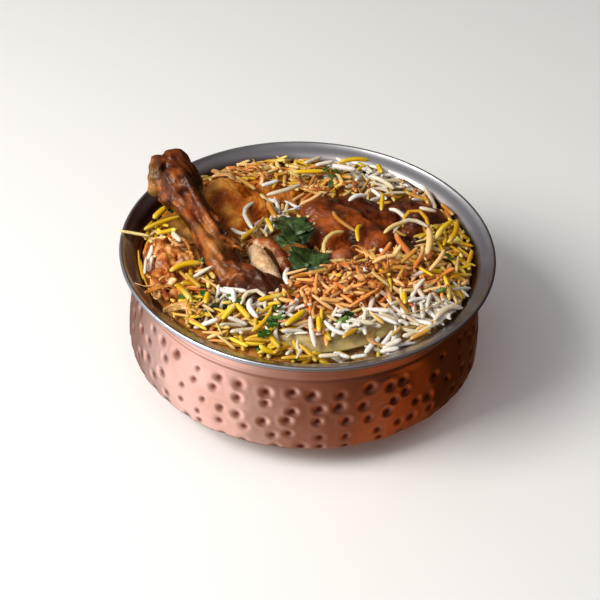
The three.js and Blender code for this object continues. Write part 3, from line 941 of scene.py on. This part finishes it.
pile = {"cell": 0.5 * mm, "reach": 90 * mm, "above": 1.9 * mm, "aboveLeaf": 2.6 * mm, "meatTop": 68 * mm,
        "foodReach": 81 * mm, "foodLow": 50 * mm, "mintFrom": -40 * mm, "mintCells": 3, "seed": 5}


def treeOf(pieces):
    verts = []
    faces = []
    for piece in pieces:
        start = len(verts)
        verts += [vert.co.copy() for vert in piece.data.vertices]
        faces += [[start + i for i in face.vertices] for face in piece.data.polygons]
    return BVHTree.FromPolygons(verts, faces)


def heightMap(pieces):
    tree = treeOf(pieces)
    count = int(2 * pile["reach"] / pile["cell"]) + 1
    heights = np.full((count, count), -1.0)
    down = Vector((0, 0, -1))
    for i in range(count):
        x = i * pile["cell"] - pile["reach"]
        for j in range(count):
            y = j * pile["cell"] - pile["reach"]
            if x * x + y * y > pile["reach"] ** 2:
                continue
            hit = tree.ray_cast(Vector((x, y, 0.12)), down)[0]
            if hit is not None:
                heights[i, j] = hit.z
    return heights


wallHeights = [z for r, z in linerInside[3:]]
wallRadii = [r for r, z in linerInside[3:]]
foodHeights = heightMap([riceCore])
meatHeights = heightMap(chicken)
leafHeights = heightMap(leaves)
heights = np.maximum(np.maximum(foodHeights, meatHeights), leafHeights)
ceiling = np.maximum(heightMap([nodes["rice_heap"]]), foodHeights) + pile["above"]
onMeat = meatHeights > foodHeights + 0.5 * mm
onLeaf = leafHeights > np.maximum(foodHeights, meatHeights)
ceiling[onMeat] = np.maximum(ceiling[onMeat], pile["meatTop"])
ceiling[onLeaf] = np.maximum(ceiling[onLeaf], leafHeights[onLeaf] + pile["aboveLeaf"])
onMint = onLeaf & (np.linspace(-pile["reach"], pile["reach"], heights.shape[0]) > pile["mintFrom"])
nearMint = onMint.copy()
for axis in (0, 1):
    for cells in (-pile["mintCells"], pile["mintCells"]):
        nearMint |= np.roll(onMint, cells, axis)
print("height map ready")

grainShape = {"segments": 7, "rings": 10, "blunt": 5, "drawn": 0.85, "full": 0.55, "flat": 0.85,
              "taper": 0.12, "swell": 0.06, "paleEnds": 0.25, "shadeFrom": 0.86, "shadeTo": 1.06}


def grainTemplate():
    bm = bmesh.new()
    bmesh.ops.create_uvsphere(bm, u_segments=grainShape["segments"], v_segments=grainShape["rings"], radius=1)
    verts, faces = vertsAndFaces(bm)
    # blunt ends: the ball is drawn out along Z, which becomes the grain's length
    along = np.sign(verts[:, 2]) * np.abs(verts[:, 2]) ** grainShape["drawn"]
    full = np.clip(1 - np.abs(along) ** grainShape["blunt"], 0, 1) ** grainShape["full"]
    flat = np.hypot(verts[:, 0], verts[:, 1])
    around = np.where(flat > 1e-6, full / np.maximum(flat, 1e-6), 0)
    around[np.abs(verts[:, 2]) > 0.999] = 0
    return np.stack([verts[:, 0] * around, verts[:, 1] * around, along], 1), faces


templateVerts, templateFaces = grainTemplate()


def grainMesh(length, thick, bend, middle, forward, side, swell):
    # bends the template along an arc towards side, then lays it along forward
    half = length / 2
    along = templateVerts[:, 2] * half
    wide = thick * (1 - grainShape["taper"] * templateVerts[:, 2]
                    + grainShape["swell"] * np.sin(templateVerts[:, 2] * 3.4 + swell))
    off = templateVerts[:, 0] * wide
    if abs(bend) > 1e-3:
        radius = length / bend
        angle = along / radius
        along = radius * np.sin(angle) - off * np.sin(angle)
        off = (radius * (1 - np.cos(angle)) - radius * (1 - math.cos(half / radius)) * 0.45
               + off * np.cos(angle))
    lift = templateVerts[:, 1] * wide * grainShape["flat"]
    up = forward.cross(side)
    return np.array(middle) + np.outer(along, forward) + np.outer(off, side) + np.outer(lift, up)


kinds = {
    "yellow": {"piece": "riceYellow", "length": (11.5, 2.6), "thick": (1.1, 0.13), "ends": (238, 218, 120),
               "colors": [(230, 188, 14), (218, 172, 10), (236, 202, 44), (204, 150, 14)]},
    "white": {"piece": "riceWhite", "length": (12.0, 2.6), "thick": (1.12, 0.14), "ends": (236, 228, 212),
              "colors": [(238, 232, 222), (226, 216, 198), (220, 204, 172), (244, 240, 234)]},
    "masala": {"piece": "riceMasala", "length": (11.5, 2.6), "thick": (1.04, 0.14), "ends": (242, 206, 140),
               "colors": [(248, 184, 108), (240, 156, 76), (250, 204, 138), (222, 124, 50)]},
    "golden": {"piece": "riceGolden", "length": (11.5, 2.6), "thick": (1.06, 0.14), "ends": (236, 214, 150),
               "colors": [(216, 170, 82), (204, 146, 54), (230, 198, 124), (190, 120, 36)]},
}
grains = {kind: {"coords": [], "colors": []} for kind in kinds}


def shadeGrain(kind, rng):
    # one grain in four fades to its paler end colour over half its length
    plan = kinds[kind]
    main = np.array(srgb(*rng.choice(plan["colors"])))
    main[:3] *= rng.uniform(grainShape["shadeFrom"], grainShape["shadeTo"])
    ends = np.array(srgb(*plan["ends"]))
    if rng.random() < grainShape["paleEnds"]:
        share = np.clip(templateVerts[:, 2] * rng.choice((-1, 1)) + 0.2, 0, 0.8)[:, None]
    else:
        share = np.clip((np.abs(templateVerts[:, 2]) - 0.55) * 1.2, 0, 0.5)[:, None]
    return main * (1 - share) + ends * share


sauce = {"color": (214, 112, 44), "oil": (206, 150, 40), "size": 5.0, "most": 0.7}


def stained(colors, coords, share):
    # sauce and oil run over neighbouring grains alike
    flow = noise.noise(Vector(coords[0]) / (sauce["size"] * mm))
    near = noise.noise(Vector(coords[-1]) / (sauce["size"] * mm) * 1.7)
    field = flow + (near - flow) * (templateVerts[:, 2] * 0.5 + 0.5)
    cover = np.clip(field * 1.15 + share * 0.42 - 0.34, 0, sauce["most"])[:, None]
    wet = np.array(srgb(*sauce["color"])) * share + np.array(srgb(*sauce["oil"])) * (1 - share)
    return colors * (1 - cover) + wet * cover


def cellsAlong(middle, forward, length):
    steps = np.linspace(-0.5, 0.5, 9) * length
    xs = middle[0] + steps * forward[0]
    ys = middle[1] + steps * forward[1]
    i = np.clip(np.round((xs + pile["reach"]) / pile["cell"]).astype(int), 2, heights.shape[0] - 3)
    j = np.clip(np.round((ys + pile["reach"]) / pile["cell"]).astype(int), 2, heights.shape[1] - 3)
    return steps, xs, ys, i, j


laying = {"sink": 0.55, "steepest": 0.4, "shortest": 5.5, "thinnest": 0.8, "bend": 0.45, "roll": 0.5,
          "round": 2, "wild": 0.3}


def layGrain(kind, x, y, azimuth, rng, tiltNoise=0.07, roofLift=0.0):
    # lays one grain on what is already there, and adds it to the height map
    plan = kinds[kind]
    length = max(laying["shortest"], rng.gauss(*plan["length"])) * mm
    thick = max(laying["thinnest"], rng.gauss(*plan["thick"])) * mm
    flat = (math.cos(azimuth), math.sin(azimuth))
    steps, xs, ys, i, j = cellsAlong((x, y), flat, length * 0.92)
    under = np.maximum.reduce([heights[i, j], heights[i + 1, j], heights[i - 1, j], heights[i, j + 1],
                               heights[i, j - 1]])
    if under.min() < 0:
        return False
    middleCell = len(i) // 2
    roof = ceiling[i[middleCell], j[middleCell]]
    slope, base = np.polyfit(steps, under, 1)
    slope = max(-laying["steepest"], min(laying["steepest"], slope))
    slope += rng.gauss(0, tiltNoise if rng.random() < 1 - laying["wild"] else 3 * tiltNoise)
    over = (under - (base + slope * steps)).max()
    z0 = base + over * (1 - laying["sink"]) + thick * 0.8
    if z0 > roof + roofLift:
        return False
    line = z0 + slope * steps
    limit = np.interp(line - thick * 0.3, wallHeights, wallRadii) - thick
    if (np.hypot(xs, ys) > limit).any():
        return False
    forward = Vector((*flat, slope)).normalized()
    level = Vector((-flat[1], flat[0], 0))
    roll = rng.uniform(-laying["roll"], laying["roll"])
    side = (level * math.cos(roll) + forward.cross(level) * math.sin(roll)).normalized()
    bend = rng.gauss(0, laying["bend"])
    coords = grainMesh(length, thick, bend, (x, y, z0), forward, side, rng.uniform(0, fullTurn))
    grains[kind]["coords"].append(coords)
    grains[kind]["colors"].append(stained(shadeGrain(kind, rng), coords, sauceShare(x, y)))
    top = line + thick * 0.75
    around = range(-laying["round"], laying["round"] + 1)
    for di in around:
        for dj in around:
            away = di * di + dj * dj
            if away <= laying["round"] ** 2:
                cell = (i + di, j + dj)
                heights[cell] = np.maximum(heights[cell], top - 0.12 * mm * away)
    return True


def cellAt(x, y):
    last = heights.shape[0] - 1
    return tuple(min(max(int(round((value + pile["reach"]) / pile["cell"])), 0), last) for value in (x, y))


def covered(x, y):
    # true over a chicken piece or a leaf
    return onMeat[cellAt(x, y)] or onLeaf[cellAt(x, y)]


def pickKind(x, y, rng):
    shares = flavourAt(x / mm, y / mm)
    ready = [kind for kind in kinds if len(grains[kind]["coords"]) < riceHeap["most"]]
    # grains of a kind lie in small clumps
    clump = {kind: 1 + 0.9 * noise.noise(Vector((x / mm, y / mm, 40 * n)) / 6)
             for n, kind in enumerate(kinds)}
    return rng.choices(ready, [max(shares[kind] * clump[kind], 0) ** 1.5 for kind in ready])[0]


riceHeap = {"count": 3400, "most": 1780, "edge": 86 * mm, "meatShare": 0.0, "leafShare": 0.12}


def scatterRice():
    rng = random.Random(pile["seed"])
    laid = 0
    tries = 0
    while laid < riceHeap["count"] and tries < riceHeap["count"] * 3:
        tries += 1
        radius = riceHeap["edge"] * math.sqrt(rng.random())
        angle = rng.uniform(0, 2 * math.pi)
        x = radius * math.cos(angle)
        y = radius * math.sin(angle)
        i, j = cellAt(x, y)
        if isBare(x, y) or onMeat[i, j] and rng.random() > riceHeap["meatShare"]:
            continue
        lowOnLeaf = onLeaf[i, j] and radius > bay["spine"] + 1.4 * mm
        if nearMint[i, j] or lowOnLeaf and rng.random() > riceHeap["leafShare"]:
            continue
        kind = pickKind(x, y, rng)
        if layGrain(kind, x, y, rng.uniform(0, math.pi), rng):
            laid += 1
    print("grains laid", laid, "of", tries)


scatterRice()


# thicker heaps: kind, middle, half widths in mm, grains, height over the heap in mm
heaps = [("white", 58, -52, 17, 8, 210, 3.6), ("masala", 28, -31, 34, 11, 260, 4.0),
         ("masala", 50, -14, 14, 8, 80, 3.4), ("masala", 24, -24, 30, 5, 120, 5.5),
         ("masala", 62, -16, 8, 12, 40, 3.6), ("golden", 28, -28, 32, 8, 60, 6.0),
         ("yellow", 74, 12, 6, 16, 50, 2.6), ("white", 34, 66, 24, 7, 90, 2.8),
         ("white", -42, -45, 8, 6, 36, 2.6), ("yellow", -58, -46, 9, 8, 36, 2.6),
         ("white", 14, -61, 16, 4, 50, 2.8), ("yellow", -4, -68, 12, 3, 36, 2.6),
         ("golden", -6, 66, 26, 6, 60, 2.6), ("yellow", -28, -58, 14, 6, 40, 2.6),
         ("white", -22, 24, 8, 12, 30, 2.4), ("yellow", -74, 14, 6, 10, 30, 2.8)]


heapShape = {"loose": 0.6, "own": 0.75, "others": ("white", "golden", "yellow"), "steep": 0.15,
             "steepTilt": 0.3, "tilt": 0.1}


def pileUp():
    rng = random.Random(pile["seed"] + 1)
    for main, px, py, wide, deep, count, above in heaps:
        for i in range(count):
            x = rng.gauss(px, wide * heapShape["loose"]) * mm
            y = rng.gauss(py, deep * heapShape["loose"]) * mm
            if covered(x, y) or isBare(x, y):
                continue
            kind = main if rng.random() < heapShape["own"] else rng.choice(heapShape["others"])
            tilt = heapShape["steepTilt"] if rng.random() < heapShape["steep"] else heapShape["tilt"]
            layGrain(kind, x, y, rng.uniform(0, math.pi), rng, tilt, above * mm - pile["above"])


pileUp()


# grains that lie where they are seen most: kind, thickness in mm, then the points along the grain

chosenGrains = [
    ("yellow", 1.15, (48, 15, 71.5), (50, 22, 75.5), (55, 24.5, 76.5), (60, 19, 75.5), (61, 9, 73)),
    ("white", 1.3, (43, 8, 73), (47, 14, 75.5), (53, 16, 76), (61, 12, 75)),
    ("masala", 1.9, (61, 12, 74.5), (61.5, 4, 73.5), (60, -5, 70)),
    ("masala", 1.7, (44, 7, 74), (46.5, 0, 73), (50, -6, 72.5), (52, -12, 70)),
    ("golden", 1.3, (38, 6, 74), (43, 11, 75.5), (50, 15, 75.5)),
    ("golden", 1.25, (12, 21, 75.5), (14, 14, 76.5), (19, 8, 76.5), (24, 5, 75)),
    ("yellow", 1.25, (27, 11, 75), (24.5, 5, 77), (25, -4, 75.5)),
    ("yellow", 1.2, (38, 39, 75.5), (37.5, 32, 76), (37, 25, 74.5)),
    ("white", 1.3, (41, 27, 74.5), (45, 25, 75), (50, 20, 73.5)),
    ("white", 1.3, (57, 31, 73.5), (61, 29, 74), (66, 29, 73)),
    ("white", 1.4, (20, 31, 75.5), (24, 35, 76), (30, 39, 74)),
    ("white", 1.3, (36, -7, 74), (41, -14, 73.5)),
    ("golden", 1.3, (48, -8, 71), (55, -10, 72)),
    ("golden", 1.3, (18, 4, 75.5), (12, 1, 76), (8, -6, 74.5), (8.5, -13, 73)),
    ("golden", 1.25, (22, -17, 73.5), (12, -20, 74.5), (4, -25, 74), (-1, -30, 72)),
    ("masala", 1.3, (36, -26, 75), (38, -36, 75.5), (41, -48, 73)),
    ("white", 1.3, (52, -35, 75), (57, -44, 73.5)),
    ("white", 1.2, (60, -40, 73.5), (58, -50, 73)),
    ("white", 1.5, (75, -46, 71), (68, -49, 72.5), (61, -57, 70.5)),
    ("yellow", 1.25, (66.5, -24, 73.5), (68.5, -33, 74), (69, -43, 72)),
    ("yellow", 1.3, (47, -41, 74.5), (47.5, -49, 73.5)),
    ("yellow", 1.4, (6.5, -60, 72.5), (7, -70, 71.5)),
    ("yellow", 1.6, (0, -56, 72.5), (-9, -67, 71.5)),
    ("yellow", 1.4, (25, -66, 71), (18, -72, 70)),
    ("white", 1.4, (19, -61, 71.5), (27, -63, 71.5)),
    ("white", 1.3, (9, -62, 71.5), (14, -68, 71), (21, -70, 70)),
    ("yellow", 1.5, (-17, -71, 69.5), (-11, -79, 68)),
    ("white", 1.55, (-26, -49, 72), (-26.5, -56, 72.5), (-22, -62, 71)),
    ("yellow", 1.5, (-39, -62, 69), (-33, -53, 72)),
    ("yellow", 1.5, (-33, -53, 72), (-26, -62, 70.5)),
    ("white", 1.25, (-31, -52, 70), (-27, -44, 72.5), (-21, -45, 72.5), (-19, -54, 70)),
    ("white", 1.35, (-35, -42, 72), (-34, -51, 70.5)),
    ("yellow", 1.45, (-10, -38, 73), (-10.5, -47, 72.5)),
    ("yellow", 1.5, (-23, -50, 72), (-11, -46, 73)),
    ("yellow", 1.6, (-63, -39, 70.5), (-57, -47, 71), (-54, -52, 70)),
    ("yellow", 1.3, (-57, -47, 70.5), (-54, -59, 68.5)),
    ("yellow", 1.3, (-61, -50, 69.5), (-51, -51, 70)),
    ("yellow", 1.6, (-47, -45, 71.5), (-47.5, -53, 71)),
    ("yellow", 1.4, (-59, -32, 72), (-51, -41, 71)),
    ("yellow", 1.7, (-67, -31, 72), (-60, -26.5, 73.5), (-52, -25, 73.5)),
    ("yellow", 1.7, (-65, 20, 72), (-62, 11, 73), (-57, 0, 72.5)),
    ("yellow", 1.3, (-84, 6, 69), (-75, 11, 71), (-66, 15, 72)),
    ("yellow", 1.3, (-77, 1, 70.5), (-66, 4, 72)),
    ("yellow", 1.8, (-80, 14, 70.5), (-74, 22, 72.5)),
    ("white", 1.6, (-69, 2, 71), (-64, -5, 71)),
    ("white", 0.9, (-80, -17, 69), (-79.5, -29, 68)),
    ("yellow", 1.6, (64, 5, 72.5), (69, 14, 74), (74, 20, 74)),
    ("yellow", 1.6, (76, 20, 74), (75, 11, 74), (71, 3, 72.5)),
    ("yellow", 1.5, (15, 74, 71), (24, 76, 72), (32, 78, 70.5)),
    ("yellow", 1.5, (36, 74, 70.5), (38, 64, 72)),
    ("white", 1.3, (7, -79, 64), (17, -78.5, 65)),
    ("white", 1.2, (14, -77, 65), (22, -79, 64)),
    ("white", 1.2, (22, -78.5, 63.5), (30, -76.5, 64)),
    ("white", 1.6, (37, -71, 64), (46, -67, 66.5)),
    ("white", 1.5, (36, -73, 63.5), (45, -71, 64.5)),
    ("golden", 1.2, (50, -66, 66), (60, -60, 68)),
    ("white", 1.2, (54, -62, 67), (66, -54, 69)),
    ("white", 1.2, (60, -58, 68), (71, -48, 70)),
    ("yellow", 1.4, (-10, 58, 73.5), (7, 60, 74)),
    ("white", 1.8, (11, 64, 75), (24, 61, 75)),
    ("white", 1.3, (-4, 67, 73.5), (5, 74, 73.5)),
    ("white", 1.3, (2, 65, 74), (12, 69, 74.5)),
    ("white", 1.3, (-26, 43, 74), (-17, 48, 74.5)),
    ("white", 1.35, (-23, 34, 74.5), (-12, 38, 76), (-5, 44, 75.5)),
    ("white", 1.3, (-29, 29, 73.5), (-33.5, 20, 74), (-31, 10, 74), (-27, 3, 73)),
    ("white", 1.3, (-40, 6, 72.5), (-32, 1, 73), (-26, 5, 73.5)),
    ("golden", 1.7, (-22, 27, 75), (-17, 13, 75)),
    ("yellow", 1.4, (-22, 13, 75), (-18, 3, 74)),
    ("yellow", 1.4, (-34, -3, 72.5), (-27, 5, 74)),
    ("white", 1.4, (-9, -24, 72.5), (-10.5, -32, 72.5), (-6, -40, 71.5)),
    ("golden", 1.3, (-29, 41, 73), (-40, 52, 73)),
    ("masala", 1.2, (34, -17, 74), (38, -13, 77), (41, -9, 80)),
    ("masala", 1.2, (39, -21, 75), (43, -16, 78), (46, -12, 81)),
    ("golden", 1.2, (44, -22, 75), (50, -18, 79), (54, -14, 81.5)),
    ("masala", 1.3, (30, -24, 75), (36, -20, 78), (44, -18, 79)),
    ("masala", 1.2, (52, -24, 75), (56, -16, 78.5), (57, -10, 80)),
    ("golden", 1.1, (18, -28, 75), (24, -24, 77.5), (30, -22, 78.5)),
    ("masala", 1.2, (8, -30, 74), (14, -26, 76.5), (20, -24, 77)),
    ("masala", 1.2, (60, -22, 73), (65, -16, 76), (68, -9, 77)),
    ("golden", 1.3, (36, -30, 76), (43, -27, 78), (51, -27, 78)),
]


def strandMesh(points, thick):
    # the grain template drawn along a smooth line through the points
    stations = [Vector(point) * mm for point in points]
    curve = bpy.data.curves.new("strand", "CURVE")
    curve.dimensions = "3D"
    spline = curve.splines.new("BEZIER")
    spline.bezier_points.add(len(stations) - 1)
    spline.resolution_u = 12
    for bezier, station in zip(spline.bezier_points, stations):
        bezier.co = station
        bezier.handle_left_type = "AUTO"
        bezier.handle_right_type = "AUTO"
    holder = bpy.data.objects.new("strand", curve)
    line = [vert.co.copy() for vert in holder.to_mesh().vertices]
    holder.to_mesh_clear()
    bpy.data.objects.remove(holder)
    bpy.data.curves.remove(curve)
    places = np.cumsum([0] + [(b - a).length for a, b in zip(line, line[1:])])
    wanted = (templateVerts[:, 2] + 1) / 2 * places[-1]
    line = np.array(line)
    middle = np.stack([np.interp(wanted, places, line[:, axis]) for axis in range(3)], 1)
    slope = np.gradient(line, places, axis=0)
    forward = np.stack([np.interp(wanted, places, slope[:, axis]) for axis in range(3)], 1)
    forward /= np.linalg.norm(forward, axis=1)[:, None]
    side = np.cross(forward, (0, 0, 1))
    side /= np.linalg.norm(side, axis=1)[:, None]
    up = np.cross(side, forward)
    off = side * templateVerts[:, :1] + up * templateVerts[:, 1:2] * grainShape["flat"]
    return middle + off * thick * mm


chosenSeed = random.Random(17)
for kind, thick, *points in chosenGrains:
    grains[kind]["coords"].append(strandMesh(points, thick * 0.96))
    grains[kind]["colors"].append(shadeGrain(kind, chosenSeed))


def merged(name, parts):
    # one piece from many small meshes, each its corners, faces and linear colours
    coords = []
    faces = []
    colors = []
    start = 0
    for verts, polygons, color in parts:
        coords.append(verts)
        faces += [[start + i for i in polygon] for polygon in polygons]
        colors.append(color)
        start += len(verts)
    mesh = bpy.data.meshes.new(name)
    mesh.from_pydata(np.concatenate(coords).tolist(), [], faces)
    paint(mesh, "tint", np.concatenate(colors))
    return newPiece(name, mesh)


riceLook = tintedLook("cookedRice", 0.42, 0.35, 0.08, 900, 0.15, 0.2)
for kind, laid in grains.items():
    parts = [(coords, templateFaces, colors) for coords, colors in zip(laid["coords"], laid["colors"])]
    settle(merged(kinds[kind]["piece"], parts), riceLook, "rice")


# small things on the rice: each copy is a template turned, bent and tinted, all merged into one piece

def scattered(name, look, slot, copies):
    parts = [(verts, faces, np.tile(srgb(*color), (len(verts), 1))) for verts, faces, color in copies]
    settle(merged(name, parts), look, slot)


def gridTemplate(along, across):
    bm = bmesh.new()
    bmesh.ops.create_grid(bm, x_segments=along, y_segments=across, size=0.5)
    bottom = bmesh.ops.extrude_face_region(bm, geom=bm.faces[:])["geom"]
    for vert in bm.verts:
        vert.co.z = 0.5
    for element in bottom:
        if isinstance(element, bmesh.types.BMVert):
            element.co.z = -0.5
    bmesh.ops.recalc_face_normals(bm, faces=bm.faces)
    return vertsAndFaces(bm)


def ballTemplate(detail):
    bm = bmesh.new()
    bmesh.ops.create_icosphere(bm, subdivisions=detail, radius=1)
    return vertsAndFaces(bm)


def turnedTo(verts, rng, place, lean):
    turn = (Matrix.Rotation(rng.uniform(0, fullTurn), 3, "Z") @ Matrix.Rotation(rng.gauss(0, lean), 3, "Y")
            @ Matrix.Rotation(rng.gauss(0, lean), 3, "X"))
    return verts @ np.array(turn).T + np.array(place)


def topAt(x, y):
    return heights[cellAt(x, y)]


def offFood(x, y):
    return math.hypot(x, y) > pile["foodReach"] or topAt(x, y) < pile["foodLow"]


def riceTopAt(x, y):
    # top of the rice, also below a piece that hangs over it
    return (ceiling if onMeat[cellAt(x, y)] else heights)[cellAt(x, y)]


def spots(plan, rng):
    # random places on the food around each cluster: middle, one or two half widths in mm, and how many
    for x, y, *spread, count in plan["clusters"]:
        for i in range(count):
            px = rng.gauss(x, spread[0] * plan["loose"]) * mm
            py = rng.gauss(y, spread[-1] * plan["loose"]) * mm
            if not offFood(px, py):
                yield px, py


# chopped herbs: each cluster's middle and spread in mm, then how many
herbs = {"clusters": [(-76, 19, 4, 5), (-80, 10, 3, 3), (6, 71, 4, 6), (12, 60, 3, 4), (-31, -50, 4, 7),
                      (-38, -46, 4, 5), (-17, -63, 4, 8), (-14, -58, 3, 4), (19, -66, 4, 4), (20, -58, 2, 4),
                      (-48, -52, 4, 5), (-54, -20, 3, 4), (-50, -12, 2, 2), (-19, -74, 3, 3),
                      (-82, -16, 3, 3), (-60, -48, 3, 3), (66, -40, 3, 2), (70, -8, 3, 3), (40, 76, 6, 3),
                      (-46, -46, 3, 3)],
         "loose": 0.7, "length": (4.6, 1.2), "shortest": 2.2, "width": 0.62, "thick": 0.3, "above": 0.5,
         "lean": 0.4, "seed": 41, "colors": [(34, 70, 14), (52, 96, 22), (28, 56, 16), (84, 122, 36)]}


def herbCopies():
    rng = random.Random(herbs["seed"])
    verts, faces = gridTemplate(7, 4)
    u = verts[:, 0] + 0.5
    for px, py in spots(herbs, rng):
        length = max(herbs["shortest"], rng.gauss(*herbs["length"])) * mm
        lobes = 1 + 0.35 * np.sin(u * math.pi * rng.uniform(4, 6) + rng.uniform(0, 3))
        half = np.sin(math.pi * (0.06 + 0.88 * u)) ** 0.6 * length * herbs["width"] * lobes
        curl = rng.uniform(-0.5, 0.5) * length
        height = (verts[:, 2] * herbs["thick"] * mm - curl * (verts[:, 0] ** 2 * 2)
                  + rng.uniform(-1.5, 1.5) * length * verts[:, 1] ** 2)
        shape = np.stack([verts[:, 0] * length, verts[:, 1] * half, height], 1)
        place = (px, py, riceTopAt(px, py) + herbs["above"] * mm)
        yield turnedTo(shape, rng, place, herbs["lean"]), faces, rng.choice(herbs["colors"])


herbLook = tintedLook("choppedHerb", 0.45, 0.1, 0.2, 800, 0.4, 0.4)
scattered("choppedHerbs", herbLook, "mint", herbCopies())


# fried onion: thin curled ribbons, most of them on the left
onion = {"clusters": [(-71, -38, 4, 4), (-63, -46, 6, 5), (-64, -4, 4, 3), (-56, -54, 6, 4), (-35, 58, 12, 7),
                      (4, 56, 14, 5), (48, -2, 3, 2), (30, -34, 22, 8), (56, -6, 8, 3), (-30, -6, 4, 3)],
         "loose": 0.6, "length": (17, 4), "shortest": 8, "width": (2.8, 1.0), "narrowest": 1.0, "thick": 0.6,
         "above": 0.6, "lean": 0.2, "seed": 77,
         "colors": [(224, 142, 54), (234, 164, 84), (206, 116, 38), (236, 178, 106), (166, 82, 24)]}


def onionCopies():
    rng = random.Random(onion["seed"])
    verts, faces = gridTemplate(22, 3)
    u = verts[:, 0] * 2
    for px, py in spots(onion, rng):
        length = max(onion["shortest"], rng.gauss(*onion["length"])) * mm
        width = max(onion["narrowest"], rng.gauss(*onion["width"])) * mm
        bend = rng.uniform(0.6, 1.9) * rng.choice((-1, 1))
        radius = length / bend / 2
        wave = rng.uniform(0.5, 1.2) * mm * np.sin(u * rng.uniform(3, 6) + rng.uniform(0, 6))
        twist = u * rng.uniform(-1.2, 1.2)
        across = verts[:, 1] * width * (1 - 0.5 * u ** 4)
        shape = np.stack([radius * np.sin(u * bend), radius * (1 - np.cos(u * bend)) + across * np.cos(twist),
                          across * np.sin(twist) + wave + verts[:, 2] * onion["thick"] * mm], 1)
        place = (px, py, riceTopAt(px, py) + onion["above"] * mm)
        yield turnedTo(shape, rng, place, onion["lean"]), faces, rng.choice(onion["colors"])


onionLook = tintedLook("friedOnion", 0.3, 0.15, 0.5, 600, 0.5, 0.5)
scattered("friedOnion", onionLook, "masala_chicken", onionCopies())


# masala crumbs between the grains
crumbs = {"clusters": [(28, -30, 32, 13, 200), (-62, -46, 8, 8, 30), (-4, -46, 14, 8, 30),
                       (-30, 56, 20, 10, 40), (20, 52, 18, 6, 40), (-30, -8, 8, 6, 24), (60, 54, 10, 6, 16),
                       (0, 0, 45, 45, 40)],
          "loose": 0.6, "size": (0.75, 0.35), "smallest": 0.4, "above": -0.1, "lean": 0.4, "seed": 91,
          "colors": [(214, 122, 44), (176, 84, 22), (226, 148, 66), (140, 60, 14)]}


def crumbCopies():
    rng = random.Random(crumbs["seed"])
    verts, faces = ballTemplate(2)
    for px, py in spots(crumbs, rng):
        if covered(px, py):
            continue
        size = max(crumbs["smallest"], rng.gauss(*crumbs["size"])) * mm
        shift = Vector((rng.uniform(0, 90), 0, 0))
        lumps = np.array([1 + 0.7 * noise.noise(Vector(vert) * 1.3 + shift) for vert in verts])
        stretch = np.array([rng.uniform(0.8, 1.9), rng.uniform(0.7, 1.2), rng.uniform(0.5, 0.9)])
        shape = verts * lumps[:, None] * stretch * size
        place = (px, py, topAt(px, py) + crumbs["above"] * mm)
        yield turnedTo(shape, rng, place, crumbs["lean"]), faces, rng.choice(crumbs["colors"])


crumbLook = tintedLook("masalaCrumb", 0.38, 0.1, 0.4, 500, 0.4, 0.35)
scattered("masalaCrumbs", crumbLook, "masala_chicken", crumbCopies())


# pale stalk on the left edge and the thin yellow strands down the wall
strands = [
    ("stalk", 0.95, (222, 200, 132), (-96, 2, 70.6), (-89, 1, 70.2), (-80, -1, 70.4)),
    ("strandUpper", 0.55, (206, 160, 40), (-85, -9, 67.5), (-83, -20, 66.5), (-80, -31, 66)),
    ("strandLower", 0.5, (196, 142, 36), (-83, -16, 67), (-79, -32, 66.6), (-73, -45, 66)),
    ("stalkFront", 0.4, (214, 190, 120), (-47, -56, 70.5), (-42, -64, 69.5), (-38, -72, 67.5)),
    ("stalkRight", 0.35, (200, 170, 110), (48, -56, 73), (60, -50, 73.2), (72, -38, 72.5)),
]


scattered("thinStrands", riceLook, "rice", [(strandMesh(points, thick), templateFaces, color)
                                            for name, thick, color, *points in strands])
